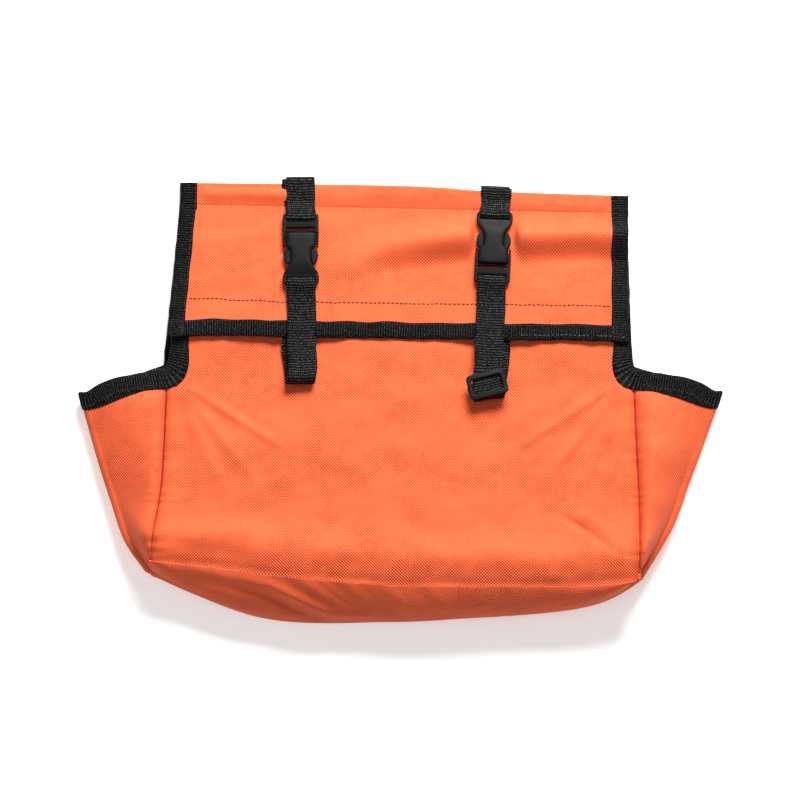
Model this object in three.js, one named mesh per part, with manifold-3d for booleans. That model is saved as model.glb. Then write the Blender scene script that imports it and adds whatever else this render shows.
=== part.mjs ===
// Electrician's fabric tool pouch with a flap and two buckled strap loops, lying on its back.
// Millimetres. +X to the right of the front, +Y towards the flap's hinge, +Z out of the front.
import * as THREE from 'three';
import { mergeVertices } from 'three/addons/utils/BufferGeometryUtils.js';
import Module from 'manifold-3d';

const wasm = await Module();
wasm.setup();

// Cloth and trims
const FABRIC = 1.2; // coated cloth with its seam allowance
const SEAM_GAP = 0.4; // between two panels that meet at a seam
const CLEAR = 0.3; // between pieces that lie on each other
const TAPE = 1.0; // hook and loop tape
const BINDING_SKIN = 0.8; // each side of a folded binding tape
const BINDING_REACH = 13; // how far a binding laps over the cloth
const MOUTH_SLACK = 0.6; // the mouth's binding is looser, because it turns corners
const FOLD_LAP = 0.4; // share of the lap left where a binding turns round a fold

// Webbing
const WEBBING_WIDTH = 25;
const WEBBING = 1.6;

// Height of the bag's front over its back
const FRONT_HEIGHT = 33.2; // at y = 0 on the centre line
const FRONT_SLOPE = -0.19; // the front rises towards the bottom
const FRONT_ROUNDING = 0.0003; // and levels out below the middle
const FRONT_CROWN = 8; // the sides lie this much lower than the middle
const FRONT_HALF_WIDTH = 205;
const BACK_EDGE_LIFT = 1.4; // the back's side edges stand off the floor by their binding
const BACK_TOP_LIFT = 2.8; // the back's top edge stands off the floor by the strap ends
const FOLD_RADIUS = 6.5; // of each gusset's outer fold

// Outlines seen from the front, as x, y, from the top downwards
const SIDES = {
  left: {
    sign: -1,
    neck: [[-193, 122], [-195.8, 60], [-197.6, 40], [-201, 27]],
    crease: [[-201, 27], [-203.5, -40], [-206.5, -80], [-213, -118], [-214.7, -138]],
    fold: [[-277.4, 5], [-263, -47], [-250, -88], [-238, -122], [-220, -148]],
    back: [[-199.5, 28], [-203, -40], [-206, -90], [-215.5, -152]],
    backNeck: [[-188.5, 187.4], [-188.8, 158], [-192, 130], [-196.5, 60], [-199.5, 28]],
  },
  right: {
    sign: 1,
    neck: [[194, 122], [197.4, 60], [198.4, 40], [200.5, 26]],
    crease: [[200.5, 26], [202.5, -30], [204.7, -80], [205.5, -113], [205, -154.5]],
    fold: [[277.4, 6], [262, -38], [250, -70], [235, -110], [208.5, -155]],
    back: [[199.5, 28], [203, -40], [205, -90], [204, -157]],
    backNeck: [[195, 176], [195, 158], [195.5, 130], [198, 60], [199.5, 28]],
  },
};
const FRONT_BOTTOM = [[-214.7, -138], [-164, -143], [-103, -151], [0, -159], [147, -159.5], [205, -154.5]];
const BACK_BOTTOM = [[-215.5, -152], [-115, -189.5], [0, -191.7], [61, -187], [157, -177.5], [204, -157]];
const BOTTOM_BULGE = [0, -200, 38]; // pull of the bottom panel's middle section
const TOP_EDGE = [[-188.5, 187.4], [0, 184.8], [80, 180], [195, 176]];
const SEAM_LINE = [[-188.5, 167.6], [195, 160.4]]; // lower edge of the top band

// Flap, in its own frame: y runs down the flap from the hinge, z out of its outer face
const HINGE_Y = 163.2;
const HINGE_Z = 6.2; // outer face of the flap at the hinge
const HINGE_SKEW = -1.07; // degrees: the seam drops slightly to the right
const FLAP_TILT = 12; // degrees: the flap rises over the full bag
const FLAP_TOP = -1;
const FLAP_BOTTOM = -113.3;
const FLAP_CORNERS = [[-189.5, FLAP_TOP], [-197.6, FLAP_BOTTOM], [196.5, FLAP_BOTTOM], [195.5, FLAP_TOP]];
const TAPE_TOP = -83;
const TAPE_BOTTOM = -99;
const TAPE_HALF_LENGTH = 178;

// Straps, placed on the flap at the hinge line
const STRAPS = {
  left: { x: -86.2, skew: 1.47 },
  right: { x: 81.6, skew: -1.63 },
};
const BUCKLE_HEIGHT = 5.4; // middle of a buckle over the flap
const WEB_UNDER = -3.2; // webbing under a buckle bar, from the buckle's middle
const WEB_OVER = 3.2;
const BUCKLE_LENGTH = 63.5;

// Side release buckle, along it from the free end of its male half
const MALE = { endBar: 3.4, slot: 7.6, ribbedBar: 13, secondSlot: 15.4, base: 16.9, halfWidth: 15.5 };
const MALE_RAIL = 2.6;
const MALE_THICKNESS = 4;
const TONGUE = { halfWidth: 4.2, end: 40 };
const PRONG = { start: 17.2, shoulder: 31, tip: 44.5, inner: 8.6, outer: 11.4, lobe: 13.8 };
const FEMALE = { mouth: 17.2, notch: 30.5, notchEnd: 46, slot: 56.3, bar: 60, halfWidth: 13.9, waist: 8.6 };
const FEMALE_THICKNESS = 10;
const POCKET = { halfWidth: 12.1, halfHeight: 2.5, end: 45.2 };
const BAR_THICKNESS = 4;

const colours = {
  cloth: new THREE.MeshStandardMaterial({ color: 0xf4642f, roughness: 0.85, metalness: 0 }),
  trim: new THREE.MeshStandardMaterial({ color: 0x17171a, roughness: 0.8, metalness: 0 }),
  plastic: new THREE.MeshStandardMaterial({ color: 0x1b1b1d, roughness: 0.45, metalness: 0 }),
};

const { clamp, degToRad, lerp } = THREE.MathUtils;

// ---------------------------------------------------------------- geometry helpers

function curve(points) {
  return new THREE.SplineCurve(points.map(([x, y]) => new THREE.Vector2(x, y)));
}

function geometryFrom(vertices, triangles) {
  const geometry = new THREE.BufferGeometry();
  geometry.setAttribute('position', new THREE.Float32BufferAttribute(vertices.flatMap((v) => v.toArray()), 3));
  let volume = 0;
  for (let i = 0; i < triangles.length; i += 3) {
    const [a, b, c] = [0, 1, 2].map((k) => vertices[triangles[i + k]]);
    volume += a.dot(b.clone().cross(c));
  }
  geometry.setIndex(volume < 0 ? triangles.slice().reverse() : triangles);
  return geometry;
}

// A closed solid swept through rings of equal length, with flat ends
function loft(rings, capTriangles) {
  const count = rings[0].length;
  const triangles = [];
  for (let i = 0; i + 1 < rings.length; i++) {
    for (let j = 0; j < count; j++) {
      const a = i * count + j;
      const b = i * count + ((j + 1) % count);
      triangles.push(a, b, a + count, b, b + count, a + count);
    }
  }
  const last = (rings.length - 1) * count;
  for (const [a, b, c] of capTriangles) {
    triangles.push(c, b, a, last + a, last + b, last + c);
  }
  return geometryFrom(rings.flat(), triangles);
}

function capOf(section) {
  return THREE.ShapeUtils.triangulateShape(section.map(([a, b]) => new THREE.Vector2(a, b)), []);
}

// A closed sheet between an outer and an inner grid of points
function sheet(outer, inner) {
  const rows = outer.length;
  const columns = outer[0].length;
  const at = (layer, i, j) => (layer * rows + i) * columns + j;
  const triangles = [];
  const quad = (a, b, c, d) => triangles.push(a, b, c, a, c, d);
  for (let i = 0; i + 1 < rows; i++) {
    for (let j = 0; j + 1 < columns; j++) {
      quad(at(0, i, j), at(0, i + 1, j), at(0, i + 1, j + 1), at(0, i, j + 1));
      quad(at(1, i, j), at(1, i, j + 1), at(1, i + 1, j + 1), at(1, i + 1, j));
    }
    quad(at(0, i, 0), at(1, i, 0), at(1, i + 1, 0), at(0, i + 1, 0));
    quad(at(0, i + 1, columns - 1), at(1, i + 1, columns - 1), at(1, i, columns - 1), at(0, i, columns - 1));
  }
  for (let j = 0; j + 1 < columns; j++) {
    quad(at(0, 0, j + 1), at(1, 0, j + 1), at(1, 0, j), at(0, 0, j));
    quad(at(0, rows - 1, j), at(1, rows - 1, j), at(1, rows - 1, j + 1), at(0, rows - 1, j + 1));
  }
  return geometryFrom([...outer.flat(), ...inner.flat()], triangles);
}

const keyOf = (p) => p.toArray().map((n) => n.toFixed(2)).join();

// Outward normals of several grids, averaged where the grids share a point
function sharedNormals(grids) {
  const sums = new Map();
  const add = (p, n) => sums.set(keyOf(p), (sums.get(keyOf(p)) ?? new THREE.Vector3()).add(n));
  for (const grid of grids) {
    for (let i = 0; i + 1 < grid.length; i++) {
      for (let j = 0; j + 1 < grid[0].length; j++) {
        const corners = [grid[i][j], grid[i + 1][j], grid[i + 1][j + 1], grid[i][j + 1]];
        const down = corners[1].clone().sub(corners[0]).add(corners[2]).sub(corners[3]);
        const across = corners[3].clone().sub(corners[0]).add(corners[2]).sub(corners[1]);
        const normal = down.cross(across).normalize();
        corners.forEach((p) => add(p, normal));
      }
    }
  }
  return (p) => sums.get(keyOf(p)).clone().normalize();
}

// Moves a grid's border inwards, so that panels meet with a gap
function drawnIn(grid, reference) {
  const rows = grid.length;
  const columns = grid[0].length;
  const step = (from, to) => to.clone().sub(from).setLength(SEAM_GAP / 2);
  return grid.map((row, i) => row.map((p, j) => {
    const q = p.clone();
    if (i === 0) q.add(step(reference[0][j], reference[1][j]));
    if (i === rows - 1) q.add(step(reference[i][j], reference[i - 1][j]));
    if (j === 0) q.add(step(reference[i][0], reference[i][1]));
    if (j === columns - 1) q.add(step(reference[i][j], reference[i][j - 1]));
    return q;
  }));
}

function clothPanel(grid, normalAt, thickness = FABRIC) {
  const inner = grid.map((row) => row.map((p) => p.clone().addScaledVector(normalAt(p), -thickness)));
  return sheet(drawnIn(grid, grid), drawnIn(inner, grid));
}

// A binding tape folded over an edge. Sign is 1 where the cloth lies towards normal cross path, else -1
function binding(path, normals, sign, clothThickness = FABRIC, slack = CLEAR) {
  const inside = clothThickness / 2 + slack;
  const outside = inside + BINDING_SKIN;
  const back = slack + BINDING_SKIN;
  const section = [
    [-back, -outside], [BINDING_REACH, -outside], [BINDING_REACH, -inside], [-slack, -inside],
    [-slack, inside], [BINDING_REACH, inside], [BINDING_REACH, outside], [-back, outside],
  ];
  const rings = path.map((p, i) => {
    const before = p.clone().sub(path[Math.max(i - 1, 0)]).normalize();
    const after = path[Math.min(i + 1, path.length - 1)].clone().sub(p).normalize();
    const tangent = before.clone().add(after).normalize();
    const straight = i > 0 && i < path.length - 1 ? before : tangent;
    const inward = normals[i].clone().cross(tangent).multiplyScalar(sign).normalize();
    const lap = Math.abs(normals[i].z) < 0.9 ? FOLD_LAP : 1 / Math.max(tangent.dot(straight), 0.5);
    return section.map(([a, b]) => p.clone()
      .addScaledVector(inward, a * lap)
      .addScaledVector(normals[i], b - clothThickness / 2));
  });
  return loft(rings, capOf(section));
}

// Webbing along a path in the y, z plane
function webbing(path) {
  const points = path.map(([y, z]) => new THREE.Vector2(y, z));
  const offset = (side) => points.map((p, i) => {
    const before = p.clone().sub(points[Math.max(i - 1, 0)]).normalize();
    const after = points[Math.min(i + 1, points.length - 1)].clone().sub(p).normalize();
    const tangent = before.clone().add(after).normalize();
    const straight = i > 0 && i < points.length - 1 ? before : tangent;
    const normal = new THREE.Vector2(-tangent.y, tangent.x);
    return p.clone().addScaledVector(normal, (side * WEBBING) / 2 / tangent.dot(straight));
  });
  const shape = new THREE.Shape([...offset(-1), ...offset(1).reverse()]);
  const geometry = new THREE.ExtrudeGeometry(shape, { depth: WEBBING_WIDTH, bevelEnabled: false });
  geometry.translate(0, 0, -WEBBING_WIDTH / 2);
  const alongX = new THREE.Matrix4().set(0, 0, 1, 0, 1, 0, 0, 0, 0, 1, 0, 0, 0, 0, 0, 1);
  return geometry.applyMatrix4(alongX);
}

function arc(centre, radius, fromDegrees, toDegrees, steps) {
  return Array.from({ length: steps + 1 }, (_, i) => {
    const angle = degToRad(lerp(fromDegrees, toDegrees, i / steps));
    return [centre[0] + radius * Math.cos(angle), centre[1] + radius * Math.sin(angle)];
  });
}

function plate(outline, low, high, holes = []) {
  const shape = new THREE.Shape(outline.map(([x, y]) => new THREE.Vector2(x, y)));
  shape.holes = holes.map((hole) => new THREE.Path(hole.map(([x, y]) => new THREE.Vector2(x, y))));
  return new THREE.ExtrudeGeometry(shape, { depth: high - low, bevelEnabled: false }).translate(0, 0, low);
}

function rectangle(halfWidth, low, high, corner = 0) {
  if (!corner) return [[-halfWidth, low], [halfWidth, low], [halfWidth, high], [-halfWidth, high]];
  const x = halfWidth - corner;
  return [
    ...arc([x, low + corner], corner, -90, 0, 3), ...arc([x, high - corner], corner, 0, 90, 3),
    ...arc([-x, high - corner], corner, 90, 180, 3), ...arc([-x, low + corner], corner, 180, 270, 3),
  ];
}

function mirrored(half) {
  return [...half, ...half.slice().reverse().map(([x, y]) => [-x, y])];
}

function block(lowX, highX, lowY, highY, lowZ, highZ) {
  const geometry = new THREE.BoxGeometry(highX - lowX, highY - lowY, highZ - lowZ);
  return geometry.translate((lowX + highX) / 2, (lowY + highY) / 2, (lowZ + highZ) / 2);
}

function solidOf(geometry) {
  const bare = geometry.clone();
  bare.deleteAttribute('normal');
  bare.deleteAttribute('uv');
  const merged = mergeVertices(bare, 1e-4);
  return new wasm.Manifold(new wasm.Mesh({
    numProp: 3,
    vertProperties: Float32Array.from(merged.attributes.position.array),
    triVerts: Uint32Array.from(merged.index.array),
  }));
}

function geometryOf(solid) {
  const mesh = solid.getMesh();
  const geometry = new THREE.BufferGeometry();
  geometry.setAttribute('position', new THREE.Float32BufferAttribute(mesh.vertProperties, 3));
  geometry.setIndex(Array.from(mesh.triVerts));
  return geometry;
}

function piece(name, geometry, material, parent) {
  const mesh = new THREE.Mesh(geometry, material);
  mesh.name = name;
  parent.add(mesh);
}

// ---------------------------------------------------------------- bag

function frontHeight(x, y) {
  const ridge = FRONT_HEIGHT + FRONT_SLOPE * y - FRONT_ROUNDING * Math.min(y, 0) ** 2;
  const crown = FRONT_CROWN * clamp((ridge - 5) / 30, 0, 1);
  return ridge - crown * (x / FRONT_HALF_WIDTH) ** 2;
}

const onFront = (x, y) => new THREE.Vector3(x, y, frontHeight(x, y));

const BODY_ROWS = 7;
const NECK_ROWS = 4;
const FRONT_COLUMNS = 12;
const fractions = (count) => Array.from({ length: count + 1 }, (_, i) => i / count);

// One line across a gusset: from the front crease, round the outer fold, to the back's edge
function gussetLine(side, v) {
  const crease = curve(side.crease).getPoint(v);
  const fold = curve(side.fold).getPoint(v);
  const back = curve(side.back).getPoint(v);
  const centreX = fold.x - side.sign * FOLD_RADIUS;
  const centreZ = 12 + 10 * v ** 2;
  const start = onFront(crease.x, crease.y);
  const end = new THREE.Vector3(back.x, back.y, BACK_EDGE_LIFT);
  const round = [90, 45, 0, -45, -90].map((degrees) => {
    const angle = degToRad(degrees);
    const x = centreX + side.sign * FOLD_RADIUS * Math.cos(angle);
    return new THREE.Vector3(x, fold.y, centreZ + FOLD_RADIUS * Math.sin(angle));
  });
  const bow = 4 * (1 - v);
  const between = (a, b, t) => {
    const p = a.clone().lerp(b, t);
    p.y += bow * Math.sin(Math.PI * t);
    return p;
  };
  return [
    start, between(start, round[0], 1 / 3), between(start, round[0], 2 / 3),
    ...round, end.clone().lerp(round[4], 0.5), end,
  ];
}

function gussetGrid(side) {
  const rows = fractions(BODY_ROWS).map((v) => gussetLine(side, v));
  return side.sign < 0 ? rows.map((row) => row.reverse()) : rows;
}

function frontGrid() {
  const { left, right } = SIDES;
  const bottom = curve(FRONT_BOTTOM);
  const bottomSag = (u) => bottom.getPoint(u).sub(bottom.getPoint(0).lerp(bottom.getPoint(1), u));
  const line = (leftEnd, rightEnd, v) => fractions(FRONT_COLUMNS).map((u) => {
    const along = leftEnd.clone().lerp(rightEnd, u);
    return onFront(along.x + v ** 4 * bottomSag(u).x, along.y + v ** 2 * bottomSag(u).y);
  });
  const neck = fractions(NECK_ROWS).slice(0, -1)
    .map((v) => line(curve(left.neck).getPoint(v), curve(right.neck).getPoint(v), 0));
  const body = fractions(BODY_ROWS)
    .map((v) => line(curve(left.crease).getPoint(v), curve(right.crease).getPoint(v), v));
  return [...neck, ...body];
}

function bottomGrid() {
  const leftLine = gussetLine(SIDES.left, 1);
  const rightLine = gussetLine(SIDES.right, 1);
  const frontEdge = curve(FRONT_BOTTOM);
  const backEdge = curve(BACK_BOTTOM);
  const chord = (a, b, w) => a.clone().lerp(b, w);
  const last = leftLine.length - 1;
  const middleA = onFront(...FRONT_BOTTOM[3]);
  const middleB = new THREE.Vector3(BACK_BOTTOM[2][0], BACK_BOTTOM[2][1], 0);
  const middle = new THREE.QuadraticBezierCurve3(middleA, new THREE.Vector3(...BOTTOM_BULGE), middleB);
  return leftLine.map((_, j) => {
    const w = j / last;
    const middleBulge = middle.getPoint(w).sub(chord(middleA, middleB, w));
    const bulgeOf = (line) => line[j].clone().sub(chord(line[0], line[last], w));
    return fractions(FRONT_COLUMNS).map((u) => {
      const front = frontEdge.getPoint(u);
      const back = backEdge.getPoint(u);
      const side = Math.abs(2 * u - 1) ** 3;
      const bulge = middleBulge.clone().lerp(bulgeOf(u < 0.5 ? leftLine : rightLine), side);
      return chord(onFront(front.x, front.y), new THREE.Vector3(back.x, back.y, backEdgeLift(u)), w).add(bulge);
    });
  });
}

const backEdgeLift = (u) => (u === 0 || u === 1 ? BACK_EDGE_LIFT : 0);

// Rows of the back from its top edge to its bottom edge, with the inner columns kept flat on the floor
function backGrid() {
  const { left, right } = SIDES;
  const edges = [
    ...[0, 1, 2, 3].map((i) => [left.backNeck[i], right.backNeck[i]].map(([x, y]) => new THREE.Vector2(x, y))),
    ...fractions(BODY_ROWS).map((v) => [curve(left.back).getPoint(v), curve(right.back).getPoint(v)]),
  ];
  const bottom = curve(BACK_BOTTOM);
  const top = curve(TOP_EDGE);
  return edges.map(([a, b], i) => fractions(FRONT_COLUMNS).map((u) => {
    const p = a.clone().lerp(b, u);
    if (i === 0) p.copy(top.getPoint(u));
    if (i === edges.length - 1) p.copy(bottom.getPoint(u));
    const topLift = i < 2 ? BACK_TOP_LIFT : 0;
    return new THREE.Vector3(p.x, p.y, Math.max(backEdgeLift(u), topLift));
  }));
}

const bag = new THREE.Group();
const front = frontGrid();
const gussets = { left: gussetGrid(SIDES.left), right: gussetGrid(SIDES.right) };
const bottom = bottomGrid();
const back = backGrid();
const shellNormal = sharedNormals([front, gussets.left, gussets.right, bottom]);
const backNormal = sharedNormals([back]);
const down = new THREE.Vector3(0, 0, -1);
const onBackEdge = (p) => p.z <= BACK_EDGE_LIFT + 0.01;
const wallNormal = (p) => (onBackEdge(p) ? down : shellNormal(p));

piece('front_panel', clothPanel(front, wallNormal), colours.cloth, bag);
piece('left_gusset', clothPanel(gussets.left, wallNormal), colours.cloth, bag);
piece('right_gusset', clothPanel(gussets.right, wallNormal), colours.cloth, bag);
piece('bottom_panel', clothPanel(bottom, wallNormal), colours.cloth, bag);
piece('back_panel', clothPanel(back, () => down), colours.cloth, bag);

// The band along the top, a hem strip laid on the back panel
const bandLow = BACK_TOP_LIFT + FABRIC + CLEAR;
const bandHigh = bandLow + FABRIC;
const bandOutline = [...TOP_EDGE.map(([x, y]) => [x, y - 0.3]), ...SEAM_LINE.slice().reverse()];
piece('top_band', plate(bandOutline, bandLow, bandHigh), colours.cloth, bag);

const up = new THREE.Vector3(0, 0, 1);
for (const [name, side] of Object.entries(SIDES)) {
  const isLeft = side.sign < 0;
  const edge = isLeft ? [TOP_EDGE[0], SEAM_LINE[0]] : [TOP_EDGE.at(-1), SEAM_LINE[1]];
  const bandPath = edge.map(([x, y]) => new THREE.Vector3(x, y, bandHigh));
  const bandBinding = binding(bandPath, [up, up], -side.sign, bandHigh - BACK_TOP_LIFT);
  piece(`band_binding_${name}`, bandBinding, colours.trim, bag);

  // Down the neck, round the inner corner, out along the gusset's mouth, round its fold and back
  const neckColumn = isLeft ? 0 : FRONT_COLUMNS;
  const neckPath = [1, 2, 3].map((i) => front[i][neckColumn]);
  const mouthRow = isLeft ? gussets.left[0].slice().reverse() : gussets.right[0];
  const mouthEnd = mouthRow.at(-1).clone().lerp(mouthRow.at(-2), 0.15);
  const mouthPath = [...neckPath, ...mouthRow.slice(0, -1), mouthEnd];
  const mouthNormals = mouthPath.map((p, i) => (i < mouthPath.length - 1 ? shellNormal(p) : down.clone()));
  piece(`mouth_binding_${name}`, binding(mouthPath, mouthNormals, -side.sign, FABRIC, MOUTH_SLACK), colours.trim, bag);

  const backColumn = isLeft ? 0 : FRONT_COLUMNS;
  const backEdge = back.map((row) => row[backColumn]);
  const backPath = [backEdge[2], backEdge[3], backEdge[3].clone().lerp(backEdge[4], 0.85)];
  const backNormals = [2, 3, 3].map((i) => backNormal(backEdge[i]).negate());
  piece(`back_binding_${name}`, binding(backPath, backNormals, side.sign), colours.trim, bag);
}

const bibPath = front[0];
piece('bib_binding', binding(bibPath, bibPath.map(shellNormal), -1), colours.trim, bag);

// ---------------------------------------------------------------- flap

const hinge = new THREE.Group();
hinge.position.set(0, HINGE_Y, HINGE_Z);
hinge.rotation.z = degToRad(HINGE_SKEW);
const flap = new THREE.Group();
flap.rotation.x = degToRad(-FLAP_TILT);
hinge.add(flap);
bag.add(hinge);

piece('flap_panel', plate(FLAP_CORNERS, -FABRIC, 0), colours.cloth, flap);
const onFlap = ([x, y]) => new THREE.Vector3(x, y, 0);
const aboveBottomBinding = FLAP_BOTTOM + BINDING_REACH + 1;
const [topLeft, bottomLeft, bottomRight, topRight] = FLAP_CORNERS;
const partWay = ([x0, y0], [x1, y1], y) => [lerp(x0, x1, (y - y0) / (y1 - y0)), y];
const flapEdges = {
  left: [topLeft, partWay(topLeft, bottomLeft, aboveBottomBinding)],
  right: [topRight, partWay(topRight, bottomRight, aboveBottomBinding)],
  bottom: [bottomLeft, bottomRight],
};
for (const [name, edge] of Object.entries(flapEdges)) {
  const sign = name === 'right' ? -1 : 1;
  piece(`flap_binding_${name}`, binding(edge.map(onFlap), [up, up], sign), colours.trim, flap);
}

const hookLow = -FABRIC - CLEAR - TAPE;
const hookOutline = rectangle(TAPE_HALF_LENGTH, TAPE_BOTTOM, TAPE_TOP);
piece('hook_tape', plate(hookOutline, hookLow, hookLow + TAPE), colours.trim, flap);

// The loop tape on the bib, under the hook tape
const flapSlope = Math.cos(degToRad(FLAP_TILT));
const loopGrid = [TAPE_TOP, TAPE_BOTTOM].map((y) => fractions(FRONT_COLUMNS)
  .map((u) => onFront(lerp(-TAPE_HALF_LENGTH, TAPE_HALF_LENGTH, u), HINGE_Y + y * flapSlope)));
const loopNormal = sharedNormals([loopGrid]);
const lifted = (height) => loopGrid.map((row) => row.map((p) => p.clone().addScaledVector(loopNormal(p), height)));
piece('loop_tape', sheet(lifted(CLEAR + TAPE), lifted(CLEAR)), colours.trim, bag);

// ---------------------------------------------------------------- buckles

function maleHalf() {
  const { endBar, slot, ribbedBar, secondSlot, base, halfWidth } = MALE;
  const outline = mirrored([
    ...arc([halfWidth - 2.5, 2.5], 2.5, -90, 0, 3), [halfWidth, secondSlot],
    [FEMALE.halfWidth, base], [TONGUE.halfWidth, base], [TONGUE.halfWidth, TONGUE.end - 3],
    [TONGUE.halfWidth - 2, TONGUE.end],
  ]);
  const inner = halfWidth - MALE_RAIL;
  const holes = [rectangle(inner, endBar, slot), rectangle(inner, ribbedBar, secondSlot)];
  return plate(outline, -MALE_THICKNESS / 2, MALE_THICKNESS / 2, holes);
}

function prong(sign) {
  const { start, shoulder, tip, inner, outer, lobe } = PRONG;
  const half = [
    [inner, start], [outer, start], [outer, shoulder - 0.4], [lobe - 0.5, shoulder], [lobe, shoulder + 5],
    [lobe - 1.2, tip - 3], [inner + 2, tip], [inner, tip - 1],
  ];
  return plate(half.map(([x, y]) => [sign * x, y]), -MALE_THICKNESS / 2, MALE_THICKNESS / 2);
}

function femaleHalf() {
  const { mouth, notch, notchEnd, slot, bar, halfWidth, waist } = FEMALE;
  const end = BUCKLE_LENGTH;
  const wide = MALE.halfWidth;
  const outline = mirrored([
    [halfWidth, mouth], [halfWidth, notch], [waist + 1.5, notch], [waist, notch + 3],
    [waist, notchEnd - 4], [waist + 1.5, notchEnd - 1], [wide - 2, notchEnd + 5], [wide, notchEnd + 9],
    [wide, end - 2], [wide - 2, end],
  ]);
  const h = FEMALE_THICKNESS / 2;
  const b = BAR_THICKNESS / 2;
  const profile = [
    [mouth, -h], [notchEnd + 1, -h], [slot - 2, -b], [end, -b], [end, b], [slot - 2, b], [notchEnd + 1, h],
    [mouth, h],
  ];
  const sideways = new THREE.ExtrudeGeometry(
    new THREE.Shape(profile.map(([y, z]) => new THREE.Vector2(y, z))),
    { depth: 2 * wide + 2, bevelEnabled: false },
  ).translate(0, 0, -wide - 1);
  sideways.applyMatrix4(new THREE.Matrix4().set(0, 0, 1, 0, 1, 0, 0, 0, 0, 1, 0, 0, 0, 0, 0, 1));
  const { halfWidth: room, halfHeight, end: pocketEnd } = POCKET;
  return geometryOf(solidOf(plate(outline, -h, h))
    .intersect(solidOf(sideways))
    .subtract(solidOf(block(-room, room, mouth - 1, pocketEnd, -halfHeight, halfHeight)))
    .subtract(solidOf(block(-wide + 3, wide - 3, slot, bar, -h, h))));
}

// Webbing round a bar, in buckle coordinates: under the bar, up through the slot and back over it
function wrapOver(from, slotMiddle, direction, lapEnd) {
  const round = WEBBING / 2;
  return [
    ...from,
    [slotMiddle - direction * round, WEB_UNDER], [slotMiddle, WEB_UNDER + round],
    [slotMiddle, WEB_OVER - round], [slotMiddle - direction * round, WEB_OVER],
    ...lapEnd,
  ];
}

const maleSlot = (MALE.endBar + MALE.slot) / 2;
const femaleSlot = (FEMALE.slot + FEMALE.bar) / 2;

function buckleGroup(parent, y, turn) {
  const group = new THREE.Group();
  group.position.set(0, y, BUCKLE_HEIGHT);
  group.rotation.z = turn;
  parent.add(group);
  return group;
}

function strapGroup({ x, skew }) {
  const group = new THREE.Group();
  group.position.x = x;
  group.rotation.z = degToRad(skew);
  flap.add(group);
  return group;
}

function addBuckle(name, group) {
  piece(`${name}_buckle_male`, maleHalf(), colours.plastic, group);
  piece(`${name}_buckle_female`, femaleHalf(), colours.plastic, group);
  // The left prong is the one on the bag's left, whichever way the buckle is turned
  const turned = group.rotation.z === 0 ? 1 : -1;
  piece(`${name}_buckle_prong_left`, prong(-turned), colours.plastic, group);
  piece(`${name}_buckle_prong_right`, prong(turned), colours.plastic, group);
}

// A strap end sewn behind the top band, brought over the top edge and down to the flap's seam
function strapAnchor(name, x, topY, edgeY, seamY) {
  const low = WEBBING / 2 + 0.1;
  const high = bandHigh + CLEAR + WEBBING / 2 + 0.1;
  const radius = (high - low) / 2;
  const bend = arc([topY - radius - WEBBING / 2, (low + high) / 2], radius, -90, 90, 6);
  const path = [[edgeY - 18, low], ...bend, [seamY, high]];
  const group = new THREE.Group();
  group.position.x = x;
  piece(`${name}_strap_anchor`, webbing(path), colours.trim, group);
  bag.add(group);
}
strapAnchor('left', -86.5, 192.6, 185.8, 166.6);
strapAnchor('right', 82, 184.5, 179.8, 163.4);

// Inside the loops: the inner runs, sewn under the flap
const innerRun = [[-42, -2.4], [-76, -2.4], [-84, -3.6], [-112, -3.6], [-118, -4.2]];
const loopBack = [[-121, -4.6], [-128, -5], [-143, -5.4]];

// Left strap: male half above, released half and loop below
const leftStrap = strapGroup(STRAPS.left);
const leftTop = -5.5;
const leftBuckle = buckleGroup(leftStrap, leftTop, Math.PI);
addBuckle('left', leftBuckle);
const leftUpperPath = wrapOver([[-4.3, WEB_UNDER], [2, WEB_UNDER]], maleSlot, 1, [[-2.4, WEB_OVER]]);
const leftLowerEnd = wrapOver([], femaleSlot, -1, [
  [BUCKLE_LENGTH + 1, WEB_OVER], [BUCKLE_LENGTH + 4, 0.4], [BUCKLE_LENGTH + 16, -1.1],
]).reverse();
const toStrap = (top, turn) => ([s, z]) => [top + turn * s, z + BUCKLE_HEIGHT];
piece('left_upper_strap', webbing(leftUpperPath.map(toStrap(leftTop, -1))), colours.trim, leftStrap);
const frontRunHeight = BUCKLE_HEIGHT + WEB_UNDER;
const leftLoopBottom = arc([-148.5, -0.3], 5.5, 100, 250, 6);
piece('left_lower_strap', webbing([
  ...leftLowerEnd.map(toStrap(leftTop, -1)),
  [-124, frontRunHeight], [-138, frontRunHeight + 1.6], ...leftLoopBottom, ...loopBack.slice().reverse(),
]), colours.trim, leftStrap);
piece('left_inner_strap', webbing(innerRun), colours.trim, leftStrap);

// Right strap: female half above, male half and loop below, with a slider on the loop
const SLIDER_RUN = 4.8; // the straight run that the slider moves on, over the flap
const rightStrap = strapGroup(STRAPS.right);
const rightEnd = -64.2;
const rightBuckle = buckleGroup(rightStrap, rightEnd, 0);
addBuckle('right', rightBuckle);
const rightUpperPath = wrapOver([[62.6, WEB_UNDER], [61.5, WEB_UNDER]], femaleSlot, -1, [[61.8, WEB_OVER]]);
piece('right_upper_strap', webbing(rightUpperPath.map(toStrap(rightEnd, 1))), colours.trim, rightStrap);
const rightLowerEnd = wrapOver([], maleSlot, 1, [[-1, WEB_OVER], [-4.5, 2], [-11, 1.4]]).reverse();
const rightLoopBottom = arc([-166, -0.4], 5.2, 100, 250, 6);
piece('right_lower_strap', webbing([
  ...rightLowerEnd.map(toStrap(rightEnd, 1)),
  [rightEnd - 5, frontRunHeight], [rightEnd - 19, SLIDER_RUN], [-163, SLIDER_RUN],
  ...rightLoopBottom, ...loopBack.slice().reverse(),
]), colours.trim, rightStrap);
piece('right_inner_strap', webbing(innerRun), colours.trim, rightStrap);

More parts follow.
